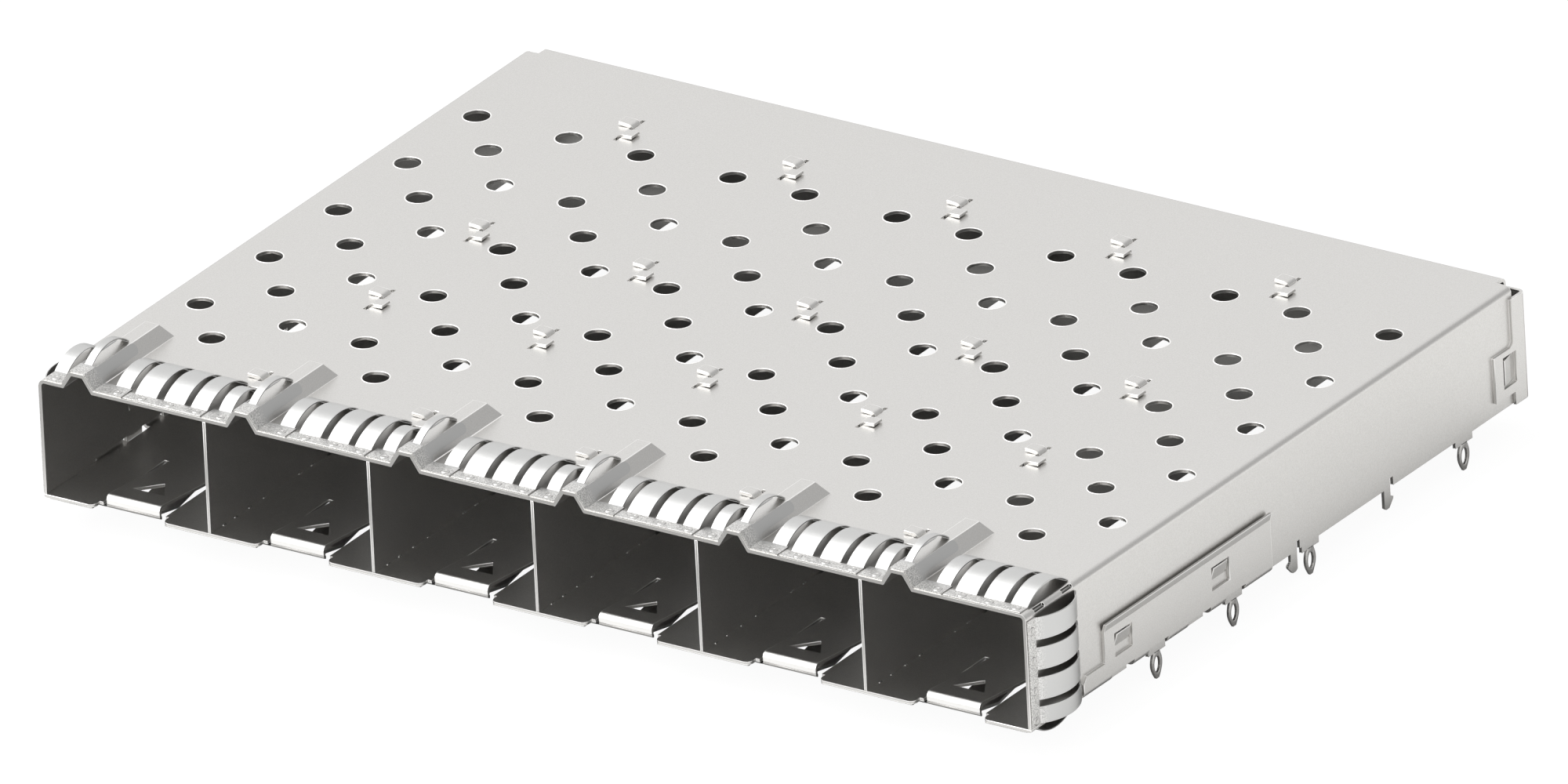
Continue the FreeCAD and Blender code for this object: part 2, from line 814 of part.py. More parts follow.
def build_channel_spring(number):
    """A strip that steps over the channel, with a finger each side, one on the crown
    and a flap down each slope."""
    name = "channel_spring_%d" % (number + 1)
    body = new_body(name)
    left = bay_left(number)
    middle = left + size["channel_from_left"]
    thickness = size["spring_sheet"]
    offset = channel_inset(channel_run, size["channel_rise"], thickness)
    base = size["channel_base"] / 2
    crown = size["channel_crown"] / 2
    start = left - size["channel_strip_overhang"]
    if number == 0:
        start = left + size["corner_strip_left"]
    end = left + size["channel_strip_right"]
    strip = Drawing(body, name + "_strip", "XZ_Plane", -size["spring_front"])
    outline(strip, [
        (start, roof), (middle - base, roof), (middle - crown, channel_top),
        (middle + crown, channel_top), (middle + base, roof), (end, roof),
        (end, roof + thickness), (middle + base + offset, roof + thickness),
        (middle + crown + offset, channel_top + thickness),
        (middle - crown - offset, channel_top + thickness),
        (middle - base - offset, roof + thickness), (start, roof + thickness)])
    pad(body, strip, size["channel_strip_rear"] - size["spring_front"], backwards=True)

    drop = size["flap_drop"]
    run = channel_run / size["channel_rise"] * drop
    flap_rear = size["flap_length"] - size["channel_strip_rear"]
    for side, word in ((1, "right"), (-1, "left")):
        flap = Drawing(body, name + "_flap_" + word, "XZ_Plane", -size["channel_strip_rear"])
        outline(flap, [
            (middle + crown * side, channel_top),
            (middle + (crown + offset) * side, channel_top + thickness),
            (middle + (crown + offset + run) * side, channel_top + thickness - drop),
            (middle + (crown + run) * side, channel_top - drop)])
        pad(body, flap, flap_rear, backwards=True)

    rear = size["channel_strip_rear"]
    rise = size["channel_finger_rise"]
    left_end = size["finger_end"]
    if number > 0:
        left_end = size["tab_pair_1"] - size["tab_gap"] / 2 - size["tab_width"] - size["strip_gap"]
    add_fingers(body, name + "_finger_left", "YZ_Plane", left + size["left_finger"],
                size["left_finger_width"], rear, roof, rise, above, left_end)
    add_fingers(body, name + "_finger_crown", "YZ_Plane", middle - size["crown_finger_width"] / 2,
                size["crown_finger_width"], rear, channel_top, rise, above)
    add_fingers(body, name + "_finger_right", "YZ_Plane", left + size["right_finger"],
                size["right_finger_width"], rear, roof, rise, above)
    return body


def build_top_spring(number):
    """A flat strip with three fingers on the roof between two channels."""
    name = "top_spring_%d" % (number + 1)
    body = new_body(name)
    left = bay_left(number)
    strip = Drawing(body, name + "_strip", "XY_Plane", roof)
    rectangle(strip, left + size["channel_strip_right"] + size["strip_gap"],
              left + size["top_strip_right"], size["spring_front"], size["strip_rear"])
    pad(body, strip, size["spring_sheet"])
    first = left + size["finger_2"]
    end = left + size["finger_4"] + size["finger_4_width"]
    add_fingers(body, name + "_fingers", "YZ_Plane", first, end - first, size["strip_rear"],
                roof, size["finger_rise"], above)
    gaps = Drawing(body, name + "_gaps", "XY_Plane", roof + size["finger_rise"] + spare)
    for before, after in (("finger_2", "finger_3"), ("finger_3", "finger_4")):
        rectangle(gaps, left + size[before] + size[before + "_width"], left + size[after],
                  size["strip_rear"], size["finger_end"] + spare)
    pocket(body, gaps, size["finger_rise"] + spare)
    return body


def build_side_spring(word, place):
    """A strip with four fingers up one side wall."""
    name = "side_spring_" + word
    body = new_body(name)
    thickness = size["spring_sheet"]
    start = half if word == "right" else -half - thickness
    strip = Drawing(body, name + "_strip", "YZ_Plane", start)
    rectangle(strip, size["spring_front"], size["strip_rear"], size["side_finger_first"],
              size["side_strip_top"])
    pad(body, strip, thickness)
    face = half if word == "right" else -half
    bottom = size["side_finger_first"]
    second = size["side_finger_second"]
    step = size["side_finger_pitch"]
    top = second + step * 2 + size["side_finger_width"]
    add_fingers(body, name + "_fingers", "XY_Plane", bottom, top - bottom, size["strip_rear"],
                face, size["finger_rise"], place)
    gaps = Drawing(body, name + "_gaps", "YZ_Plane")
    rear = size["strip_rear"]
    end = size["finger_end"] + spare
    rectangle(gaps, rear, end, bottom + size["side_finger_first_width"], second)
    for index in range(1, 3):
        rectangle(gaps, rear, end, second + step * index - (step - size["side_finger_width"]),
                  second + step * index)
    pocket(body, gaps, (half + size["finger_rise"] + spare) * 2, both=True)
    return body


def build_bottom_spring(number):
    """A strip under the front lip between two latch tongues, with fingers bowed down."""
    name = "bottom_spring_%d" % (number + 1)
    body = new_body(name)
    thickness = size["spring_sheet"]
    lip_side = pitch / 2 - size["lip_half"] - size["strip_gap"]
    start = bay_left(number) - lip_side
    end = bay_left(number) + lip_side
    fingers = 4
    if number == 0:
        start = row_left + size["corner_strip_left"]
        fingers = 2
    if number == bay_total:
        end = -row_left - size["corner_strip_left"]
        fingers = 2
    strip = Drawing(body, name + "_strip", "XY_Plane", under_floor - thickness)
    rectangle(strip, start, end, size["spring_front"], size["strip_rear"])
    pad(body, strip, thickness)
    width = size["lower_finger_width"]
    step = width + size["lower_finger_gap"]
    first = (start + end - step * fingers + size["lower_finger_gap"]) / 2
    band = step * fingers - size["lower_finger_gap"]
    add_fingers(body, name + "_fingers", "YZ_Plane", first, band, size["strip_rear"],
                under_floor, size["finger_rise"], below)
    gaps = Drawing(body, name + "_gaps", "XY_Plane", under_floor)
    for index in range(1, fingers):
        rectangle(gaps, first + step * index - size["lower_finger_gap"], first + step * index,
                  size["strip_rear"], size["finger_end"] + spare)
    pocket(body, gaps, size["finger_rise"] + spare)
    return body


def build_all():
    bodies = [build_top_cover(), build_floor_plate(), build_rear_cover()]
    for number in range(1, bay_total):
        bodies.append(build_divider(number))
    for number in range(bay_total):
        bodies.append(build_channel_spring(number))
        bodies.append(build_top_spring(number))
    bodies.append(build_side_spring("left", to_the_left))
    bodies.append(build_side_spring("right", to_the_right))
    for number in range(bay_total + 1):
        bodies.append(build_bottom_spring(number))
    doc.recompute()
    return bodies


def check(bodies):
    """Stop if an object failed, a cut removed nothing or a body isn't one sound solid."""
    for item in doc.Objects:
        if "Invalid" in item.State or "Error" in item.State:
            raise RuntimeError("%s failed: %s" % (item.Label, item.State))
    for cut in cuts:
        if cut.Shape.Volume >= cut.BaseFeature.Shape.Volume:
            raise RuntimeError("%s cuts nothing" % cut.Label)
    for body in bodies:
        if body.Shape.isNull() or not body.Shape.isValid():
            raise RuntimeError("%s has no valid shape" % body.Label)
        if len(body.Shape.Solids) != 1:
            raise RuntimeError("%s has %d solids" % (body.Label, len(body.Shape.Solids)))


def write(bodies):
    os.makedirs("parts", exist_ok=True)
    for body in bodies:
        body.Shape.exportStep("parts/%s.step" % body.Label)
        box = body.Shape.BoundBox
        print("%-20s %8.2f mm3  x %7.2f %7.2f  y %6.2f %6.2f  z %6.2f %6.2f" % (
            body.Label, body.Shape.Volume, box.XMin, box.XMax, box.YMin, box.YMax,
            box.ZMin, box.ZMax))


cage_bodies = build_all()
check(cage_bodies)
write(cage_bodies)
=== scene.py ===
import math

import bmesh
import bpy
from mathutils import Matrix, Vector


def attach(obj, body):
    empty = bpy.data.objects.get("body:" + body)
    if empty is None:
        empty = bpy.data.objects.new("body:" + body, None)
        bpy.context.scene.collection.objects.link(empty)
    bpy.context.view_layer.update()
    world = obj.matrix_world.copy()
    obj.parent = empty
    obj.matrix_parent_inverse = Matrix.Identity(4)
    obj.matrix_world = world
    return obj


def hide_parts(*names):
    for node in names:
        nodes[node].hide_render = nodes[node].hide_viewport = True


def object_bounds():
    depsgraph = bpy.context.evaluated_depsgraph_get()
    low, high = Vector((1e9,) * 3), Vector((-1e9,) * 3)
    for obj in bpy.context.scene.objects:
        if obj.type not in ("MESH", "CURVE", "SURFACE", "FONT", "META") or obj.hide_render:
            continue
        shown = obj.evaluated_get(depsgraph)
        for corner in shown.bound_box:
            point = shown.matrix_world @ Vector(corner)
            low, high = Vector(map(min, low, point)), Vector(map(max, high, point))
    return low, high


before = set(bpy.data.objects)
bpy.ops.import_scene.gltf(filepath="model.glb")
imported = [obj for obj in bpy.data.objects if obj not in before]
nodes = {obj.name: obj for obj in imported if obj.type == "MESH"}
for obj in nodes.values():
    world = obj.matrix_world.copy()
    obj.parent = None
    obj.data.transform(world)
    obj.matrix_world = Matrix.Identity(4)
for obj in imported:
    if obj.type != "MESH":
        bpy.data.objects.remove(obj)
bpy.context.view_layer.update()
mm = 0.001
hair = 0.001 * mm       # a length too small to matter
merge = 0.0005 * mm     # points closer than this are one
print("frame loaded with", len(nodes), "nodes")


# small helpers

def hexColour(text):
    # an sRGB hex value turned to the linear colour that a shader socket wants
    channels = [int(text[i:i + 2], 16) / 255 for i in (1, 3, 5)]
    linear = [c / 12.92 if c <= 0.04045 else ((c + 0.055) / 1.055) ** 2.4 for c in channels]
    return (*linear, 1.0)


def addNode(tree, kind, settings=None, values=None, links=None):
    node = tree.nodes.new(kind)
    for name, value in (settings or {}).items():
        setattr(node, name, value)
    for name, value in (values or {}).items():
        node.inputs[name].default_value = value
    for name, socket in (links or {}).items():
        tree.links.new(socket, node.inputs[name])
    return node


def newMaterial(name):
    material = bpy.data.materials.new(name)
    material.use_nodes = True
    material.node_tree.nodes.clear()
    return material, material.node_tree


def finishPiece(piece, material, replaced, smoothAngle=28):
    # smooth along the bends, crisp at the edges, and standing for its node
    mesh = piece.data
    mesh.materials.clear()
    mesh.materials.append(material)
    mesh.shade_smooth()
    mesh.set_sharp_from_angle(angle=math.radians(smoothAngle))
    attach(piece, "root")
    if replaced:
        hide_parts(*replaced)
    return piece


def meshPiece(name, bm):
    mesh = bpy.data.meshes.new(name)
    bm.to_mesh(mesh)
    bm.free()
    piece = bpy.data.objects.new(name, mesh)
    bpy.context.collection.objects.link(piece)
    return piece


# rolled sheet: a soft satin metal whose fine grain breaks up every reflection
cageSheet = {
    "colour": "#e3e2e0",
    "grainColour": "#c6c4c1",
    "grainSize": 0.09,     # the real grain is about 0.02 mm, drawn coarser so that it shows
    "roughness": 0.36,
    "roughnessSpread": 0.07,
    "bump": 0.009,
    "fingerShadeColour": "#b2b0ad",
    "fingerShadeFront": (0.8, 1.4),     # painted shade: the sheet is darker where the bowed fingers shade it
    "fingerShadeRear": (5.3, 6.3),
    "fingerShadeRoof": 9.65,
    "fingerShadeWall": 42.875,
    "fingerShadeDepth": 0.02,           # how far off those outer faces still counts as outside
    "bumpStrength": 0.5,
}


def rolledSheet():
    material, tree = newMaterial("rolledNickelSilverSheet")
    place = addNode(tree, "ShaderNodeTexCoord").outputs["Object"]
    grain = addNode(tree, "ShaderNodeTexNoise", values={
        "Scale": 1 / (cageSheet["grainSize"] * mm), "Detail": 2.0, "Roughness": 0.6},
        links={"Vector": place})
    tint = addNode(tree, "ShaderNodeMix", {"data_type": "RGBA"},
                   links={0: grain.outputs["Fac"]})
    tint.inputs[6].default_value = hexColour(cageSheet["colour"])
    tint.inputs[7].default_value = hexColour(cageSheet["grainColour"])
    where = addNode(tree, "ShaderNodeSeparateXYZ", links={"Vector": place}).outputs
    # painted shade on the outer faces of roof and walls, in the band under the bowed fingers
    across = addNode(tree, "ShaderNodeMath", {"operation": "ABSOLUTE"}, links={0: where["X"]})
    onWall = addNode(tree, "ShaderNodeMath", {"operation": "COMPARE"}, {
        1: cageSheet["fingerShadeWall"] * mm, 2: cageSheet["fingerShadeDepth"] * mm}, {0: across.outputs[0]})
    onRoof = addNode(tree, "ShaderNodeMath", {"operation": "COMPARE"}, {
        1: cageSheet["fingerShadeRoof"] * mm, 2: cageSheet["fingerShadeDepth"] * mm}, {0: where["Z"]})
    outside = addNode(tree, "ShaderNodeMath", {"operation": "MAXIMUM"}, links={
        0: onWall.outputs[0], 1: onRoof.outputs[0]})
    begins = addNode(tree, "ShaderNodeMapRange", values={
        "From Min": cageSheet["fingerShadeFront"][0] * mm, "From Max": cageSheet["fingerShadeFront"][1] * mm},
        links={"Value": where["Y"]})
    ends = addNode(tree, "ShaderNodeMapRange", values={
        "From Min": cageSheet["fingerShadeRear"][0] * mm, "From Max": cageSheet["fingerShadeRear"][1] * mm,
        "To Min": 1.0, "To Max": 0.0}, links={"Value": where["Y"]})
    band = addNode(tree, "ShaderNodeMath", {"operation": "MULTIPLY"}, links={
        0: begins.outputs["Result"], 1: ends.outputs["Result"]})
    shadeAmount = addNode(tree, "ShaderNodeMath", {"operation": "MULTIPLY"}, links={
        0: band.outputs[0], 1: outside.outputs[0]})
    shadedTint = addNode(tree, "ShaderNodeMix", {"data_type": "RGBA"}, links={0: shadeAmount.outputs[0]})
    tree.links.new(tint.outputs[2], shadedTint.inputs[6])
    shadedTint.inputs[7].default_value = hexColour(cageSheet["fingerShadeColour"])
    rough = addNode(tree, "ShaderNodeMapRange", values={
        "To Min": cageSheet["roughness"] - cageSheet["roughnessSpread"],
        "To Max": cageSheet["roughness"] + cageSheet["roughnessSpread"]},
        links={"Value": grain.outputs["Fac"]})
    relief = addNode(tree, "ShaderNodeBump", values={
        "Strength": cageSheet["bumpStrength"], "Distance": cageSheet["bump"] * mm},
        links={"Height": grain.outputs["Fac"]})
    surface = addNode(tree, "ShaderNodeBsdfPrincipled", values={"Metallic": 1.0}, links={
        "Base Color": shadedTint.outputs[2], "Roughness": rough.outputs["Result"],
        "Normal": relief.outputs["Normal"]})
    addNode(tree, "ShaderNodeOutputMaterial", links={"Surface": surface.outputs["BSDF"]})
    return material


# spring strip: bright hard-rolled metal, mottled where the welder's heat reached it
springStrip = {
    "colour": "#cacac9",
    "mottleDark": "#b2b1af",
    "mottleLight": "#edecea",
    "mottleSize": 0.1,
    "mottleBack": (1.0, 1.7),    # where the heat marks fade out behind the welds
    "grainSize": 0.04,     # coarser than the real rolling grain, so that it shows
    "roughness": 0.35,
    "roughnessSpread": 0.1,
    "bump": 0.012,
    "bumpStrength": 0.6,
}


def rolledStrip():
    material, tree = newMaterial("plainRolledSpringStrip")
    place = addNode(tree, "ShaderNodeTexCoord").outputs["Object"]
    mottle = addNode(tree, "ShaderNodeTexNoise", values={
        "Scale": 1 / (springStrip["mottleSize"] * mm), "Detail": 3.0, "Roughness": 0.7},
        links={"Vector": place})
    grain = addNode(tree, "ShaderNodeTexNoise", values={
        "Scale": 1 / (springStrip["grainSize"] * mm), "Detail": 1.0},
        links={"Vector": place})
    spread = addNode(tree, "ShaderNodeMapRange", values={"From Min": 0.4, "From Max": 0.6},
                     links={"Value": mottle.outputs["Fac"]})
    heated = addNode(tree, "ShaderNodeMix", {"data_type": "RGBA"}, links={0: spread.outputs["Result"]})
    heated.inputs[6].default_value = hexColour(springStrip["mottleDark"])
    heated.inputs[7].default_value = hexColour(springStrip["mottleLight"])
    back = addNode(tree, "ShaderNodeSeparateXYZ", links={"Vector": place}).outputs["Y"]
    near, far = springStrip["mottleBack"]
    fade = addNode(tree, "ShaderNodeMapRange", values={
        "From Min": near * mm, "From Max": far * mm, "To Min": 1.0, "To Max": 0.0},
        links={"Value": back})
    tint = addNode(tree, "ShaderNodeMix", {"data_type": "RGBA"}, links={0: fade.outputs["Result"]})
    tint.inputs[6].default_value = hexColour(springStrip["colour"])
    tree.links.new(heated.outputs[2], tint.inputs[7])
    rough = addNode(tree, "ShaderNodeMapRange", values={
        "To Min": springStrip["roughness"] - springStrip["roughnessSpread"],
        "To Max": springStrip["roughness"] + springStrip["roughnessSpread"]},
        links={"Value": grain.outputs["Fac"]})
    relief = addNode(tree, "ShaderNodeBump", values={
        "Strength": springStrip["bumpStrength"], "Distance": springStrip["bump"] * mm},
        links={"Height": grain.outputs["Fac"]})
    surface = addNode(tree, "ShaderNodeBsdfPrincipled", values={"Metallic": 1.0}, links={
        "Base Color": tint.outputs[2], "Roughness": rough.outputs["Result"],
        "Normal": relief.outputs["Normal"]})
    addNode(tree, "ShaderNodeOutputMaterial", links={"Surface": surface.outputs["BSDF"]})
    return material


# weld nugget: remelted metal, smoother than the strip around it and finely rippled
weldNugget = {
    "colour": "#cccbc9",
    "roughness": 0.26,
    "rippleSize": 0.1,
    "bump": 0.01,
    "bumpStrength": 0.6,
}


def remeltedNugget():
    material, tree = newMaterial("remeltedWeldNugget")
    place = addNode(tree, "ShaderNodeTexCoord").outputs["Object"]
    ripple = addNode(tree, "ShaderNodeTexNoise", values={
        "Scale": 1 / (weldNugget["rippleSize"] * mm), "Detail": 2.0}, links={"Vector": place})
    relief = addNode(tree, "ShaderNodeBump", values={
        "Strength": weldNugget["bumpStrength"], "Distance": weldNugget["bump"] * mm},
        links={"Height": ripple.outputs["Fac"]})
    surface = addNode(tree, "ShaderNodeBsdfPrincipled", values={
        "Metallic": 1.0, "Base Color": hexColour(weldNugget["colour"]),
        "Roughness": weldNugget["roughness"]}, links={"Normal": relief.outputs["Normal"]})
    addNode(tree, "ShaderNodeOutputMaterial", links={"Surface": surface.outputs["BSDF"]})
    return material


# plain metals, each one colour and one roughness
plainMetals = {
    # painted highlight: a lighter metal for the broken edges, the vent beads and the tongues' fronts
    "highlightedSheetEdge": {"colour": "#f7f6f4", "roughness": 0.42},
    # painted shade: the fingers' faces turned to the sheet are darker, so the hollows under the fingers
    # stay dark
    "shadedStripUnderside": {"colour": "#908f8d", "roughness": 0.5},
    # painted shade: the cut faces inside the corner windows, dark and rough, so the windows read dark
    "windowShadeFace": {"colour": "#5f5e5c", "roughness": 0.6},
}


def plainMetal(name):
    look = plainMetals[name]
    material, tree = newMaterial(name)
    surface = addNode(tree, "ShaderNodeBsdfPrincipled", values={
        "Metallic": 1.0, "Base Color": hexColour(look["colour"]), "Roughness": look["roughness"]})
    addNode(tree, "ShaderNodeOutputMaterial", links={"Surface": surface.outputs["BSDF"]})
    return material


sheetMetal = rolledSheet()
windowShadeMetal = plainMetal("windowShadeFace")
shadedUndersideMetal = plainMetal("shadedStripUnderside")
edgeHighlightMetal = plainMetal("highlightedSheetEdge")
stripMetal = rolledStrip()
nuggetMetal = remeltedNugget()
print("materials made")


# folded sheet pieces keep their solids' form and get the broken edges that stamping leaves
sheetEdge = {"width": 0.055, "segments": 2, "angle": 25, "flatWithin": 0.2}
sheetNodes = ["top_cover", "floor_plate", "rear_cover"] + ["divider_%d" % n for n in range(1, 6)]

# press-fit pins below the walls: half widths and depths of the eye-of-needle form
pressPin = {
    "places": (16.33, 26.33, 36.33, 56.33),
    "thickness": 0.25,
    "neck": 0.4,
    "eye": 0.65,
    "tip": 0.17,
    "length": 2.1,
    "slot": 0.37,
    "slotTop": 0.35,
    "slotBottom": 1.65,
    "steps": 12,
    "edge": 0.05,
    "edgeSegments": 2,
    "rimAngle": 60,
    "smooth": 40,
    "start": 0.05,          # how far the neck reaches up into the shoulder
    "cutRoom": 0.1,         # room round each eye when the solids' pins are cut off
    "cutSlack": 0.0001,
}


def cutPins(bm):
    # the solids' pins end at the shoulder, where the smoothly drawn ones begin
    bmesh.ops.bisect_plane(bm, geom=bm.verts[:] + bm.edges[:] + bm.faces[:],
                           dist=pressPin["cutSlack"] * mm, plane_co=(0, 0, 0), plane_no=(0, 0, 1))
    reach = (pressPin["eye"] + pressPin["cutRoom"]) * mm
    pins = []
    for face in bm.faces:
        middle = face.calc_center_median()
        near = any(abs(middle.y - place * mm) < reach for place in pressPin["places"])
        if near and middle.z < -hair:
            pins.append(face)
    bmesh.ops.delete(bm, geom=pins, context="FACES")
    openEdges = [edge for edge in bm.edges if edge.is_boundary]
    bmesh.ops.holes_fill(bm, edges=openEdges, sides=0)


# painted highlight: the forward faces of the latch tongues' rolled fronts take the lighter edge metal
tongueFront = {"facing": -0.3, "bottom": 0.44, "rear": 1.3}


def paintFrontHighlight(mesh):
    for polygon in mesh.polygons:
        forward = polygon.normal.y < tongueFront["facing"]
        above = polygon.center.z > tongueFront["bottom"] * mm
        if forward and above and polygon.center.y < tongueFront["rear"] * mm:
            polygon.material_index = 1


# relief windows through the corner folds, near the front: their cut faces get painted shade
cornerWindow = {
    "starts": (1.3, 4.9),
    "length": 1.3,
    "across": (42.5, 42.862),
    "up": (9.28, 9.638),
    "slack": 0.01,
    "square": 0.95,
}


def shadeWindows(mesh):
    for polygon in mesh.polygons:
        x, y, z = (abs(value) / mm for value in polygon.center)
        inside = (cornerWindow["across"][0] < x < cornerWindow["across"][1]
                  and cornerWindow["up"][0] < z < cornerWindow["up"][1])
        along = any(-cornerWindow["slack"] < y - start < cornerWindow["length"] + cornerWindow["slack"]
                    for start in cornerWindow["starts"])
        square = max(abs(value) for value in polygon.normal) > cornerWindow["square"]
        if inside and along and square:
            polygon.material_index = 2


def foldedSheet(node):
    bm = bmesh.new()
    bm.from_mesh(nodes[node].data)
    bmesh.ops.remove_doubles(bm, verts=bm.verts, dist=merge)
    if node.startswith("divider") or node == "top_cover":
        cutPins(bm)
    bmesh.ops.dissolve_limit(bm, angle_limit=math.radians(sheetEdge["flatWithin"]),
                             verts=bm.verts, edges=bm.edges)
    piece = meshPiece(node + "_sheet", bm)
    bevel = piece.modifiers.new("brokenEdge", "BEVEL")
    bevel.width = sheetEdge["width"] * mm
    bevel.segments = sheetEdge["segments"]
    bevel.limit_method = "ANGLE"
    bevel.angle_limit = math.radians(sheetEdge["angle"])
    bevel.use_clamp_overlap = False
    bevel.offset_type = "ABSOLUTE"
    # painted highlight: the broken edges take the lighter edge metal
    bevel.material = 1
    # the wide faces keep flat normals, so only the folds and the broken edges shade round
    flat = piece.modifiers.new("flatFaces", "WEIGHTED_NORMAL")
    flat.keep_sharp = True
    finishPiece(piece, sheetMetal, [node], sheetEdge["angle"])
    piece.data.materials.append(edgeHighlightMetal)
    if node == "floor_plate":
        paintFrontHighlight(piece.data)
    if node == "top_cover":
        piece.data.materials.append(windowShadeMetal)
        shadeWindows(piece.data)


for node in sheetNodes:
    foldedSheet(node)
print("folded sheet done")


# contact fingers: bowed bands from the strip's rear edge back to the sheet
contactFinger = {
    "thickness": 0.1,
    "edge": 0.02,
    "start": 1.1,
    "channelStart": 1.6,
    "end": 6.4,
    "rise": 1.0,
    "channelRise": 0.9,
    "steps": 22,
    "inward": 0.3,      # cosine from which a face counts as turned to the sheet
}
fingerLength = contactFinger["end"] - contactFinger["start"]


def newTree(name, inputs):
    # takes loose points, and further inputs by name
    tree = bpy.data.node_groups.new(name, "GeometryNodeTree")
    sockets = tree.interface
    sockets.new_socket("Geometry", in_out="INPUT", socket_type="NodeSocketGeometry")
    for word, kind in inputs:
        sockets.new_socket(word, in_out="INPUT", socket_type=kind)
    sockets.new_socket("Turn", in_out="INPUT", socket_type="NodeSocketFloat")
    sockets.new_socket("Material", in_out="INPUT", socket_type="NodeSocketMaterial")
    sockets.new_socket("Geometry", in_out="OUTPUT", socket_type="NodeSocketGeometry")
    return tree, addNode(tree, "NodeGroupInput").outputs


def placeForms(tree, given, form):
    # the form on each point, scaled by the point's own stretch and turned as a whole
    stretch = addNode(tree, "GeometryNodeInputNamedAttribute", {"data_type": "FLOAT_VECTOR"},
                      {"Name": "stretch"})
    turn = addNode(tree, "ShaderNodeCombineXYZ", links={"Y": given["Turn"]})
    row = addNode(tree, "GeometryNodeInstanceOnPoints", links={
        "Points": given["Geometry"], "Instance": form,
        "Rotation": turn.outputs[0], "Scale": stretch.outputs["Attribute"]})
    real = addNode(tree, "GeometryNodeRealizeInstances", links={"Geometry": row.outputs[0]})
    painted = addNode(tree, "GeometryNodeSetMaterial", links={
        "Geometry": real.outputs[0], "Material": given["Material"]})
    addNode(tree, "NodeGroupOutput", links={"Geometry": painted.outputs[0]})
    return tree


def fingerTree():
    # one bowed band on each point
    inputs = [(word, "NodeSocketFloat") for word in ("Length", "Rise", "Thickness", "Edge")]
    tree, given = newTree("contactFingers", inputs + [("Steps", "NodeSocketInt")])
    half = addNode(tree, "ShaderNodeMath", {"operation": "MULTIPLY"}, {1: 0.5},
                   {0: given["Length"]}).outputs[0]
    lift = addNode(tree, "ShaderNodeMath", {"operation": "MULTIPLY"}, {1: 0.5},
                   {0: given["Thickness"]}).outputs[0]
    peak = addNode(tree, "ShaderNodeMath", {"operation": "ADD"},
                   links={0: given["Rise"], 1: lift}).outputs[0]
    begin = addNode(tree, "ShaderNodeCombineXYZ", links={"Z": lift})
    crown = addNode(tree, "ShaderNodeCombineXYZ", links={"Y": half, "Z": peak})
    tip = addNode(tree, "ShaderNodeCombineXYZ", links={"Y": given["Length"], "Z": lift})
    bow = addNode(tree, "GeometryNodeCurveArc", {"mode": "POINTS"}, links={
        "Resolution": given["Steps"], "Start": begin.outputs[0], "Middle": crown.outputs[0],
        "End": tip.outputs[0]})
    level = addNode(tree, "GeometryNodeSetCurveNormal", {"mode": "Z_UP"},
                    links={"Curve": bow.outputs["Curve"]})
    band = addNode(tree, "GeometryNodeCurvePrimitiveQuadrilateral", values={"Width": mm},
                   links={"Height": given["Thickness"]})
    broken = addNode(tree, "GeometryNodeFilletCurve", {"mode": "POLY"}, {"Count": 1},
                     {"Curve": band.outputs["Curve"], "Radius": given["Edge"]})
    swept = addNode(tree, "GeometryNodeCurveToMesh", values={"Fill Caps": True}, links={
        "Curve": level.outputs["Curve"], "Profile Curve": broken.outputs["Curve"]})
    return placeForms(tree, given, swept.outputs["Mesh"])


def repeatTree():
    # one copy of a small form on each point
    tree, given = newTree("repeatedForm", [("Form", "NodeSocketObject")])
    form = addNode(tree, "GeometryNodeObjectInfo", links={"Object": given["Form"]})
    return placeForms(tree, given, form.outputs["Geometry"])


def grow(tree, name, points, stretches, inputs):
    # runs a node tree on loose points and gives back the plain mesh
    mesh = bpy.data.meshes.new(name)
    mesh.from_pydata(points, [], [])
    stored = mesh.attributes.new("stretch", "FLOAT_VECTOR", "POINT")
    for index, stretch in enumerate(stretches):
        stored.data[index].vector = stretch
    seed = bpy.data.objects.new(name, mesh)
    bpy.context.collection.objects.link(seed)
    modifier = seed.modifiers.new(name, "NODES")
    modifier.node_group = tree
    for item in tree.interface.items_tree:
        if item.in_out == "INPUT" and item.name in inputs:
            modifier[item.identifier] = inputs[item.name]
    bpy.context.view_layer.update()
    evaluated = seed.evaluated_get(bpy.context.evaluated_depsgraph_get())
    grown = bpy.data.meshes.new_from_object(evaluated)
    bpy.data.objects.remove(seed)
    return grown


bowedBand = fingerTree()
repeatedForm = repeatTree()


def repeatPiece(name, form, places, turn, material, scale=1.0, smoothAngle=60):
    # copies of one form, joined as one plain mesh that rides with the cage
    points = [Vector(place) * mm for place in places]
    grown = grow(repeatedForm, name, points, [(scale, scale, scale)] * len(points),
                 {"Form": form, "Turn": turn, "Material": material})
    piece = bpy.data.objects.new(name, grown)
    bpy.context.collection.objects.link(piece)
    finishPiece(piece, material, [], smoothAngle)


def fingers(name, seats, widths, rise, length, turn=0.0, stretch=1.0):
    # seats are the middle points of the fingers' roots, in millimetres
    points = [Vector(seat) * mm for seat in seats]
    scales = [(width, stretch, 1.0) for width in widths]
    return grow(bowedBand, name, points, scales, {
        "Length": length * mm, "Rise": rise * mm, "Thickness": contactFinger["thickness"] * mm,
        "Edge": contactFinger["edge"] * mm, "Steps": contactFinger["steps"],
        "Turn": turn, "Material": stripMetal})


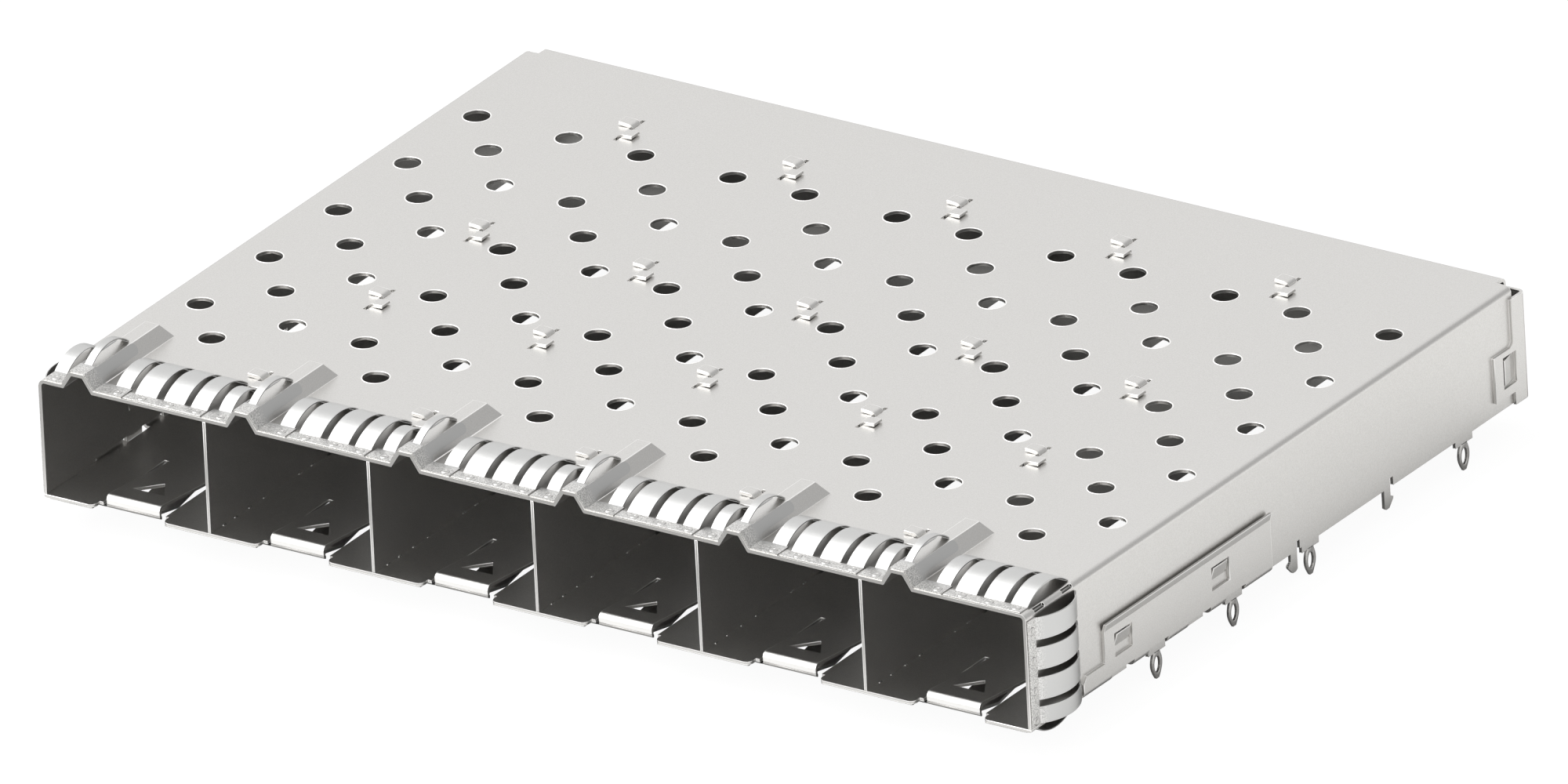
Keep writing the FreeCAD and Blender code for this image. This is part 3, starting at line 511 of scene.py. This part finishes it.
def addOutline(bm, corners, low, high, place):
    # a closed outline given as (across, up) pairs, extruded between two stations
    rings = []
    for station in (low, high):
        rings.append([bm.verts.new(Vector(place(across, up, station)) * mm) for across, up in corners])
    count = len(corners)
    faces = [bm.faces.new(rings[0]), bm.faces.new(list(reversed(rings[1])))]
    for index in range(count):
        after = (index + 1) % count
        faces.append(bm.faces.new((rings[0][after], rings[0][index], rings[1][index], rings[1][after])))
    bmesh.ops.recalc_face_normals(bm, faces=faces)


def addRing(bm, radius, height, count):
    return [bm.verts.new((radius * math.cos(turn), radius * math.sin(turn), height))
            for turn in (2 * math.pi * index / count for index in range(count))]


def joinRings(bm, rings):
    for inner, outer in zip(rings, rings[1:]):
        count = len(outer)
        for index in range(count):
            after = (index + 1) % count
            if len(inner) == 1:
                bm.faces.new((inner[0], outer[index], outer[after]))
            else:
                bm.faces.new((inner[index], outer[index], outer[after], inner[after]))


def breakEdges(bm, width, sharpAngle=30):
    limit = math.radians(sharpAngle)
    sharp = [edge for edge in bm.edges if edge.is_manifold and edge.calc_face_angle() > limit]
    bmesh.ops.bevel(bm, geom=sharp, offset=width * mm, segments=1, affect="EDGES", clamp_overlap=True)


def acrossRow(across, up, station):
    return (across, station, up)


def springPiece(name, bm, grown, replaced, inward):
    # inward points from the strip to the sheet that carries it
    for mesh in grown:
        bm.from_mesh(mesh)
        bpy.data.meshes.remove(mesh)
    bm.normal_update()
    # painted shade: the faces turned to the sheet take the darker underside metal
    hidden = [face.index for face in bm.faces
              if face.normal.dot(Vector(inward)) > contactFinger["inward"]]
    piece = finishPiece(meshPiece(name, bm), stripMetal, replaced)
    piece.data.materials.append(shadedUndersideMetal)
    for polygon in piece.data.polygons:
        polygon.material_index = 0
    for index in hidden:
        piece.data.polygons[index].material_index = 1


# the row of bays
bayRow = {"pitch": 14.25, "bays": 6, "roof": 9.65, "half": 42.875, "floor": 0.5, "underside": 0.25}
sides = (("left", -1), ("right", 1))


def bayLeft(number):
    return (number - bayRow["bays"] / 2) * bayRow["pitch"]


# flat strips with three fingers between two channels
topSpring = {
    "front": 0.1,
    "left": 7.15,
    "right": 13.85,
    "fingers": ((7.56, 1.87), (10.05, 1.8), (12.4, 1.45)),
}


def buildTopSpring(number):
    left = bayLeft(number)
    roof = bayRow["roof"]
    name = "top_spring_%d" % (number + 1)
    bm = bmesh.new()
    low = left + topSpring["left"]
    high = left + topSpring["right"]
    thick = contactFinger["thickness"]
    addOutline(bm, [(low, roof), (high, roof), (high, roof + thick), (low, roof + thick)],
               topSpring["front"], contactFinger["start"], acrossRow)
    breakEdges(bm, contactFinger["edge"])
    seats = [(left + start + width / 2, contactFinger["start"], roof)
             for start, width in topSpring["fingers"]]
    widths = [width for start, width in topSpring["fingers"]]
    grown = [fingers(name, seats, widths, contactFinger["rise"], fingerLength)]
    springPiece(name + "_strip", bm, grown, [name], (0, 0, -1))


for number in range(bayRow["bays"]):
    buildTopSpring(number)
print("top springs done")

# the strip that steps over each channel, with a flap down both slopes
channel = {"fromLeft": 3.25, "base": 2.7, "crown": 1.2, "rise": 1.13}
slopeRun = (channel["base"] - channel["crown"]) / 2
slopeLength = math.hypot(slopeRun, channel["rise"])
channelSpring = {
    "overhang": 0.2,
    "cornerStart": 0.3,
    "right": 7.0,
    "leftFinger": (0.25, 1.1),
    "leftEnd": 5.575,      # short of the folded tab beside it
    "crownFinger": 0.65,
    "rightFinger": (5.6, 1.25),
    "flapEnd": 6.5,
    "flapFoot": 0.38,      # how far the flap's lower edge stays above the roof
    "flapCorner": 0.45,
    "cornerSteps": 5,
}


def slopePoint(middle, side, along, down, out):
    # a place on a channel's slope: back along it, down it from the crown and out from it
    rise = channel["rise"]
    reach = channel["crown"] / 2 + slopeRun * down / slopeLength + out * rise / slopeLength
    up = bayRow["roof"] + rise * (1 - down / slopeLength) + out * slopeRun / slopeLength
    return (middle + side * reach, along, up)


def flapOutline():
    # in (back, down) pairs: square at the strip, rounded at the rear, hollow at the front foot
    foot = slopeLength * (1 - channelSpring["flapFoot"] / channel["rise"])
    front = contactFinger["channelStart"]
    rear = channelSpring["flapEnd"]
    radius = channelSpring["flapCorner"]
    steps = channelSpring["cornerSteps"]
    corners = [(front, 0.0)]
    for centre, first in (((rear - radius, radius), -90), ((rear - radius, foot - radius), 0)):
        for index in range(steps + 1):
            turn = math.radians(first + 90 * index / steps)
            corners.append((centre[0] + radius * math.cos(turn), centre[1] + radius * math.sin(turn)))
    hollow = slopeLength - foot
    for index in range(steps + 1):
        turn = math.radians(90 * index / steps)
        corners.append((front + hollow * (1 - math.sin(turn)), slopeLength - hollow * math.cos(turn)))
    return corners


def buildChannelSpring(number):
    left = bayLeft(number)
    middle = left + channel["fromLeft"]
    roof = bayRow["roof"]
    top = roof + channel["rise"]
    thick = contactFinger["thickness"]
    slope = slopeRun / channel["rise"]
    offset = thick * (math.sqrt(1 + slope * slope) - slope)
    base = channel["base"] / 2
    crown = channel["crown"] / 2
    start = left - channelSpring["overhang"]
    leftEnd = channelSpring["leftEnd"]
    if number == 0:
        start = left + channelSpring["cornerStart"]
        leftEnd = contactFinger["end"]
    end = left + channelSpring["right"]
    name = "channel_spring_%d" % (number + 1)
    bm = bmesh.new()
    addOutline(bm, [
        (start, roof), (middle - base, roof), (middle - crown, top), (middle + crown, top),
        (middle + base, roof), (end, roof), (end, roof + thick),
        (middle + base + offset, roof + thick), (middle + crown + offset, top + thick),
        (middle - crown - offset, top + thick), (middle - base - offset, roof + thick),
        (start, roof + thick)], topSpring["front"], contactFinger["channelStart"], acrossRow)
    for side in (-1, 1):
        def onSlope(along, down, out, side=side):
            return slopePoint(middle, side, along, down, out)
        addOutline(bm, flapOutline(), 0.0, thick, onSlope)
    breakEdges(bm, contactFinger["edge"])
    begin = contactFinger["channelStart"]
    length = contactFinger["end"] - begin
    rise = contactFinger["channelRise"]
    leftStart, leftWidth = channelSpring["leftFinger"]
    rightStart, rightWidth = channelSpring["rightFinger"]
    grown = [
        fingers(name + "a", [(left + leftStart + leftWidth / 2, begin, roof)], [leftWidth],
                rise, length, 0.0, (leftEnd - begin) / length),
        fingers(name + "b", [(middle, begin, top),
                             (left + rightStart + rightWidth / 2, begin, roof)],
                [channelSpring["crownFinger"], rightWidth], rise, length)]
    springPiece(name + "_strip", bm, grown, [name], (0, 0, -1))


for number in range(bayRow["bays"]):
    buildChannelSpring(number)
print("channel springs done")


# strips up both side walls
sideSpring = {
    "bottom": 0.6,
    "top": 9.1,
    "firstWidth": 1.35,
    "second": 2.48,
    "pitch": 2.385,
    "width": 1.8,
    "wide": 3,
}


def buildSideSpring(word, side):
    name = "side_spring_" + word
    thick = contactFinger["thickness"]
    face = bayRow["half"]
    bm = bmesh.new()
    addOutline(bm, [(side * face, sideSpring["bottom"]), (side * (face + thick), sideSpring["bottom"]),
                    (side * (face + thick), sideSpring["top"]), (side * face, sideSpring["top"])],
               topSpring["front"], contactFinger["start"], acrossRow)
    breakEdges(bm, contactFinger["edge"])
    heights = [sideSpring["bottom"] + sideSpring["firstWidth"] / 2]
    widths = [sideSpring["firstWidth"]]
    for index in range(sideSpring["wide"]):
        heights.append(sideSpring["second"] + sideSpring["pitch"] * index + sideSpring["width"] / 2)
        widths.append(sideSpring["width"])
    seats = [(side * face, contactFinger["start"], height) for height in heights]
    grown = [fingers(name, seats, widths, contactFinger["rise"], fingerLength, side * math.pi / 2)]
    springPiece(name + "_strip", bm, grown, [name], (-side, 0, 0))


for word, side in sides:
    buildSideSpring(word, side)


# strips under the lip between the latch tongues
bottomSpring = {
    "lipHalf": 3.0,
    "gapToLip": 0.15,
    "width": 1.65,
    "gap": 0.45,
    "fingers": 4,
    "cornerFingers": 2,
}


def buildBottomSpring(number):
    name = "bottom_spring_%d" % (number + 1)
    reach = bayRow["pitch"] / 2 - bottomSpring["lipHalf"] - bottomSpring["gapToLip"]
    middle = bayLeft(number)
    start = middle - reach
    end = middle + reach
    count = bottomSpring["fingers"]
    if number == 0:
        start = middle + channelSpring["cornerStart"]
        count = bottomSpring["cornerFingers"]
    if number == bayRow["bays"]:
        end = middle - channelSpring["cornerStart"]
        count = bottomSpring["cornerFingers"]
    under = bayRow["underside"]
    low = under - contactFinger["thickness"]
    bm = bmesh.new()
    addOutline(bm, [(start, low), (end, low), (end, under), (start, under)],
               topSpring["front"], contactFinger["start"], acrossRow)
    breakEdges(bm, contactFinger["edge"])
    step = bottomSpring["width"] + bottomSpring["gap"]
    first = (start + end) / 2 - step * (count - 1) / 2
    seats = [(first + step * index, contactFinger["start"], under) for index in range(count)]
    grown = [fingers(name, seats, [bottomSpring["width"]] * count, contactFinger["rise"],
                     fingerLength, math.pi)]
    springPiece(name + "_strip", bm, grown, [name], (0, 0, 1))


for number in range(bayRow["bays"] + 1):
    buildBottomSpring(number)
print("side and bottom springs done")


# the latch tongues' fronts are rolled under and run back below as a plain spring leg
tongueLeg = {
    "half": 2.3,
    "legHalf": 1.52,
    "front": 0.72,
    "low": 0.45,
    "roll": 0.32,
    "thickness": 0.25,
    "steps": 6,
    "crest": (4.3, -0.5),
    "tip": (6.6, -0.05),
    "edge": 0.04,
    "smooth": 40,
}


def buildTongueLeg(number):
    middle = bayLeft(number) + bayRow["pitch"] / 2
    outer = tongueLeg["roll"]
    inner = outer - tongueLeg["thickness"]
    centre = (tongueLeg["front"] + outer, tongueLeg["low"])
    rounds = []
    for radius in (outer, inner):
        arc = []
        for index in range(tongueLeg["steps"] + 1):
            turn = math.pi / 2 * index / tongueLeg["steps"]
            arc.append((centre[0] - radius * math.cos(turn), centre[1] - radius * math.sin(turn)))
        rounds.append(arc)

    def alongBay(back, up, station):
        return (middle + station, back, up)

    bm = bmesh.new()
    addOutline(bm, rounds[0] + list(reversed(rounds[1])),
               -tongueLeg["half"], tongueLeg["half"], alongBay)
    crest = tongueLeg["crest"]
    tip = tongueLeg["tip"]
    thick = tongueLeg["thickness"]
    start = (centre[0], centre[1] - outer)
    addOutline(bm, [start, crest, tip, (tip[0], tip[1] + thick), (crest[0], crest[1] + thick),
                    (start[0], start[1] + thick)],
               -tongueLeg["legHalf"], tongueLeg["legHalf"], alongBay)
    breakEdges(bm, tongueLeg["edge"])
    piece = meshPiece("tongue_leg_%d" % (number + 1), bm)
    finishPiece(piece, sheetMetal, [], tongueLeg["smooth"])


for number in range(bayRow["bays"]):
    buildTongueLeg(number)
print("tongue legs done")

# weld nuggets: a raised ring round a shallow dimple, on each strip between its edges
weld = {
    "crown": 0.015,
    "profile": ((0.13, 0.02), (0.2, 0.065), (0.27, 0.07), (0.33, 0.03), (0.37, -0.02)),
    "segments": 14,
    "onRoof": (1.06, 6.37, 8.51, 10.89, 13.23),
    "onSide": (8.16, 5.78, 3.37, 1.02),
    "underLip": (-2.3, 0.0, 2.3),
    "back": 0.6,
    "tacks": (1.75, 3.25, 5.1, 7.0, 11.6, 13.2),
    "tackOut": 0.16,
    "tackScale": 0.62,
}


def nuggetForm():
    bm = bmesh.new()
    rings = [[bm.verts.new((0, 0, weld["crown"] * mm))]]
    for radius, height in weld["profile"]:
        rings.append(addRing(bm, radius * mm, height * mm, weld["segments"]))
    joinRings(bm, rings)
    bm.faces.new(list(reversed(rings[-1])))
    bmesh.ops.recalc_face_normals(bm, faces=bm.faces)
    return meshPiece("nuggetForm", bm)


oneNugget = nuggetForm()
onTop = bayRow["roof"] + contactFinger["thickness"]
outward = bayRow["half"] + contactFinger["thickness"]
below = bayRow["underside"] - contactFinger["thickness"]
betweenBays = range(1, bayRow["bays"])
places = [(bayLeft(number) + across, weld["back"], onTop)
          for number in range(bayRow["bays"]) for across in weld["onRoof"]]
repeatPiece("roof_welds", oneNugget, places, 0.0, nuggetMetal)
for word, side in sides:
    places = [(side * outward, weld["back"], height) for height in weld["onSide"]]
    repeatPiece("side_welds_" + word, oneNugget, places, side * math.pi / 2, nuggetMetal)
places = [(bayLeft(number) + across, weld["back"], below)
          for number in betweenBays for across in weld["underLip"]]
repeatPiece("lip_welds", oneNugget, places, math.pi, nuggetMetal)
# small tacks in the corner between each divider and the floor
for word, side in sides:
    places = [(bayLeft(number) + side * weld["tackOut"], back, bayRow["floor"])
              for number in betweenBays for back in weld["tacks"]]
    repeatPiece("floor_tacks_" + word, oneNugget, places, side * math.pi / 4, nuggetMetal,
                weld["tackScale"])
bpy.data.objects.remove(oneNugget)
print("welds done")


def pinForm():
    # smooth outline round an eye, drawn as two halves and given the sheet's thickness
    steps = pressPin["steps"]
    halfThick = pressPin["thickness"] / 2 * mm
    length = pressPin["length"]
    spread = pressPin["eye"] - (pressPin["neck"] + pressPin["tip"]) / 2
    centre = -(pressPin["slotTop"] + pressPin["slotBottom"]) / 2
    tall = (pressPin["slotBottom"] - pressPin["slotTop"]) / 2
    bm = bmesh.new()
    faces = []
    for side in (-1, 1):
        corners = [(0.0, pressPin["start"]), (pressPin["neck"], pressPin["start"])]
        for index in range(steps + 1):
            share = index / steps
            plain = pressPin["neck"] * (1 - share) + pressPin["tip"] * share
            corners.append((plain + spread * math.sin(math.pi * share), -length * share))
        corners.append((0.0, -length))
        for index in range(steps + 1):
            turn = math.pi * (index / steps - 0.5)
            corners.append((pressPin["slot"] * math.cos(turn), centre + tall * math.sin(turn)))
        ring = [bm.verts.new((-halfThick, side * across * mm, up * mm)) for across, up in corners]
        faces.append(bm.faces.new(ring))
    bmesh.ops.remove_doubles(bm, verts=bm.verts, dist=merge)
    grown = bmesh.ops.extrude_face_region(bm, geom=bm.faces[:])
    moved = [item for item in grown["geom"] if isinstance(item, bmesh.types.BMVert)]
    bmesh.ops.translate(bm, verts=moved, vec=(2 * halfThick, 0, 0))
    bmesh.ops.recalc_face_normals(bm, faces=bm.faces)
    # every rim but the one at the top, which is hidden in the shoulder
    top = pressPin["start"] * mm - hair
    rims = [edge for edge in bm.edges if edge.is_manifold
            and abs(edge.calc_face_angle()) > math.radians(pressPin["rimAngle"])
            and abs(edge.verts[0].co.x - edge.verts[1].co.x) < hair
            and min(vertex.co.z for vertex in edge.verts) < top]
    bmesh.ops.bevel(bm, geom=rims, offset=pressPin["edge"] * mm, segments=pressPin["edgeSegments"],
                    affect="EDGES", profile=0.5, clamp_overlap=True)
    return meshPiece("pinForm", bm)


onePin = pinForm()
wallMiddle = bayRow["half"] - pressPin["thickness"] / 2
pinRows = [-wallMiddle] + [bayLeft(number) for number in betweenBays] + [wallMiddle]
places = [(across, back, 0.0) for across in pinRows for back in pressPin["places"]]
repeatPiece("press_fit_pins", onePin, places, 0.0, sheetMetal,
            smoothAngle=pressPin["smooth"])
bpy.data.objects.remove(onePin)
print("press-fit pins done")

# vent holes: the punch leaves a low bead round each, in the lighter edge metal as a painted highlight
vent = {
    "across": (-4.0, 0.0, 4.0),
    "first": 16.25,
    "stagger": 4.5,
    "pitch": 9.0,
    "rows": 5,
    "radius": 1.0,
    "beadWidth": 0.11,
    "beadHeight": 0.022,
    "beadInset": 0.01,      # the bead starts just inside the hole and just below the roof
    "beadSink": 0.003,
    "segments": 36,
    "beadSteps": 4,
}


def ventBead():
    bm = bmesh.new()
    rings = []
    for step in range(vent["beadSteps"] + 1):
        turn = math.pi * step / vent["beadSteps"]
        across = vent["beadWidth"] * (1 - math.cos(turn)) / 2
        radius = (vent["radius"] - vent["beadInset"] + across) * mm
        height = (vent["beadHeight"] * math.sin(turn) - vent["beadSink"]) * mm
        rings.append(addRing(bm, radius, height, vent["segments"]))
    joinRings(bm, rings + rings[:1])
    bmesh.ops.recalc_face_normals(bm, faces=bm.faces)
    return meshPiece("ventBead", bm)


oneBead = ventBead()
places = []
for number in range(bayRow["bays"]):
    for across in vent["across"]:
        first = vent["first"] - (vent["stagger"] if across == 0 else 0)
        for row in range(vent["rows"]):
            places.append((bayLeft(number) + bayRow["pitch"] / 2 + across,
                           first + vent["pitch"] * row, bayRow["roof"]))
repeatPiece("vent_beads", oneBead, places, 0.0, edgeHighlightMetal)
bpy.data.objects.remove(oneBead)
print("vent beads done")


# stage: a board with painted shade before the openings and at the wall's foot, paler beside the wall,
# seen nearly white by the camera
stage = {
    "size": 3.0,
    "shadedFloorColour": "#a6a6a5",          # painted shade, before the openings and at the foot of the right wall
    "floorSideColour": "#f4f4f3",      # beside the right wall and behind
    "sideTowards": (0.75, 1.0, 0.0),
    "sideFade": (10.0, 38.0),          # where along that direction the board turns lighter
    "footShadeFade": (44.4, 46.4),          # painted shade again at the foot of the right wall
    "nearMiddle": -4.4,                # and where it is light again, close before the fronts, a band that glows in the metal's reflections as painted light
    "nearHalf": (2.2, 5.0),
    "nearToMetal": 0.6,
    "whiteToCamera": 0.8,
    "whiteToMetal": 0.2,
    "whiteStrength": 1.18,
}


def stageMaterial():
    material, tree = newMaterial("matteWhiteBoard")
    path = addNode(tree, "ShaderNodeLightPath").outputs
    place = addNode(tree, "ShaderNodeTexCoord").outputs["Object"]
    where = addNode(tree, "ShaderNodeSeparateXYZ", links={"Vector": place}).outputs
    # pale to the right and behind, with painted shade at the foot of the wall
    along = addNode(tree, "ShaderNodeVectorMath", {"operation": "DOT_PRODUCT"}, {
        1: stage["sideTowards"]}, {0: place})
    low, high = stage["sideFade"]
    side = addNode(tree, "ShaderNodeMapRange", {"interpolation_type": "SMOOTHSTEP"}, {
        "From Min": low * mm, "From Max": high * mm}, {"Value": along.outputs["Value"]})
    low, high = stage["footShadeFade"]
    foot = addNode(tree, "ShaderNodeMapRange", {"interpolation_type": "SMOOTHSTEP"}, {
        "From Min": low * mm, "From Max": high * mm}, {"Value": where["X"]})
    beside = addNode(tree, "ShaderNodeMath", {"operation": "MULTIPLY"}, links={
        0: side.outputs["Result"], 1: foot.outputs["Result"]})
    # and pale in a narrow band before the fronts
    offset = addNode(tree, "ShaderNodeMath", {"operation": "SUBTRACT"}, {
        1: stage["nearMiddle"] * mm}, {0: where["Y"]})
    distance = addNode(tree, "ShaderNodeMath", {"operation": "ABSOLUTE"}, links={
        0: offset.outputs[0]})
    low, high = stage["nearHalf"]
    near = addNode(tree, "ShaderNodeMapRange", {"interpolation_type": "SMOOTHSTEP"}, {
        "From Min": low * mm, "From Max": high * mm, "To Min": 1.0, "To Max": 0.0},
        {"Value": distance.outputs[0]})
    pale = addNode(tree, "ShaderNodeMath", {"operation": "MAXIMUM"}, links={
        0: beside.outputs[0], 1: near.outputs["Result"]})
    board = addNode(tree, "ShaderNodeMix", {"data_type": "RGBA"}, links={0: pale.outputs[0]})
    board.inputs[6].default_value = hexColour(stage["shadedFloorColour"])
    board.inputs[7].default_value = hexColour(stage["floorSideColour"])
    matte = addNode(tree, "ShaderNodeBsdfDiffuse", links={"Color": board.outputs[2]})
    white = addNode(tree, "ShaderNodeEmission", values={
        "Color": (1, 1, 1, 1), "Strength": stage["whiteStrength"]})
    # painted light: the metal's reflections see some of that white, more in the band before the fronts,
    # the camera most of it
    glow = addNode(tree, "ShaderNodeMath", {"operation": "MULTIPLY"}, {
        1: stage["whiteToMetal"]}, {0: beside.outputs[0]})
    sheen = addNode(tree, "ShaderNodeMath", {"operation": "MULTIPLY_ADD"}, {
        1: stage["nearToMetal"]}, {0: near.outputs["Result"], 2: glow.outputs[0]})
    mirrored = addNode(tree, "ShaderNodeMath", {"operation": "MULTIPLY"}, links={
        0: path["Is Glossy Ray"], 1: sheen.outputs[0]})
    share = addNode(tree, "ShaderNodeMath", {"operation": "MULTIPLY_ADD"}, {
        1: stage["whiteToCamera"]}, {0: path["Is Camera Ray"], 2: mirrored.outputs[0]})
    seen = addNode(tree, "ShaderNodeMixShader", links={
        0: share.outputs[0], 1: matte.outputs[0], 2: white.outputs[0]})
    addNode(tree, "ShaderNodeOutputMaterial", links={"Surface": seen.outputs[0]})
    return material


def buildStage():
    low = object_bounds()[0].z
    bpy.ops.mesh.primitive_plane_add(size=stage["size"], location=(0, 0, low))
    floor = bpy.context.object
    floor.name = "stage_floor"
    floor.data.materials.append(stageMaterial())


buildStage()

# studio light: a white surround, dimmer behind on the right, and two soft boxes on the left
studio = {
    "worldStrength": 1.0,
    "dimSide": (0.62, 0.70, 0.36),      # towards the darker part of the room
    "dimSpread": (0.72, 0.97),          # cosines between which it darkens
    "dimStrength": 0.55,
    # name, place and size in metres, watts
    "boxes": (
        ("keyBox", (-0.32, -0.02, 0.50), (0.40, 0.50), 1.35),
        ("frontBox", (-0.34, -0.48, 0.28), (0.60, 0.44), 2.0),
    ),
    "target": (0.0, 0.02, 0.005),
}


def buildWorld():
    world = bpy.data.worlds.new("studio")
    bpy.context.scene.world = world
    world.use_nodes = True
    tree = world.node_tree
    tree.nodes.clear()
    towards = addNode(tree, "ShaderNodeTexCoord").outputs["Generated"]
    side = addNode(tree, "ShaderNodeVectorMath", {"operation": "DOT_PRODUCT"}, {
        1: Vector(studio["dimSide"]).normalized()}, {0: towards})
    low, high = studio["dimSpread"]
    level = addNode(tree, "ShaderNodeMapRange", {"interpolation_type": "SMOOTHSTEP"}, {
        "From Min": low, "From Max": high, "To Min": studio["worldStrength"],
        "To Max": studio["dimStrength"]}, {"Value": side.outputs["Value"]})
    glow = addNode(tree, "ShaderNodeBackground", values={"Color": (1, 1, 1, 1)},
                   links={"Strength": level.outputs["Result"]})
    backdrop = addNode(tree, "ShaderNodeBackground", values={"Color": (1, 1, 1, 1), "Strength": 1.0})
    path = addNode(tree, "ShaderNodeLightPath").outputs
    seen = addNode(tree, "ShaderNodeMixShader", links={
        0: path["Is Camera Ray"], 1: glow.outputs[0], 2: backdrop.outputs[0]})
    addNode(tree, "ShaderNodeOutputWorld", links={"Surface": seen.outputs[0]})


def buildLamps():
    for name, place, size, watts in studio["boxes"]:
        light = bpy.data.lights.new(name, "AREA")
        light.shape = "RECTANGLE"
        light.size, light.size_y = size
        light.energy = watts
        lamp = bpy.data.objects.new(name, light)
        lamp.location = place
        aim = Vector(place) - Vector(studio["target"])
        lamp.rotation_euler = aim.to_track_quat("Z", "Y").to_euler()
        bpy.context.collection.objects.link(lamp)


buildWorld()
buildLamps()

# camera: a parallel view, turned, raised and slightly rolled as the reference is
view = {
    "azimuth": 34.976,
    "elevation": 25.013,
    "roll": -2.994,
    "width": 113.19,
    "right": 17.759,
    "up": 16.345,
    "distance": 400.0,
    "clipEnd": 10000.0,
}


def buildCamera():
    azimuth = math.radians(view["azimuth"])
    elevation = math.radians(view["elevation"])
    roll = math.radians(view["roll"])
    back = Vector((math.sin(azimuth) * math.cos(elevation),
                   -math.cos(azimuth) * math.cos(elevation), math.sin(elevation)))
    level = Vector((math.cos(azimuth), math.sin(azimuth), 0.0))
    upright = back.cross(level)
    right = level * math.cos(roll) + upright * math.sin(roll)
    up = back.cross(right)
    data = bpy.data.cameras.new("camera")
    data.type = "ORTHO"
    data.ortho_scale = view["width"] * mm
    data.clip_end = view["clipEnd"] * mm
    camera = bpy.data.objects.new("camera", data)
    place = right * view["right"] + up * view["up"] + back * view["distance"]
    turn = Matrix((right, up, back)).transposed().to_4x4()
    camera.matrix_world = Matrix.Translation(place * mm) @ turn
    bpy.context.collection.objects.link(camera)
    bpy.context.scene.camera = camera


buildCamera()
bpy.context.scene.view_settings.view_transform = "Standard"
print("stage, light and camera done")
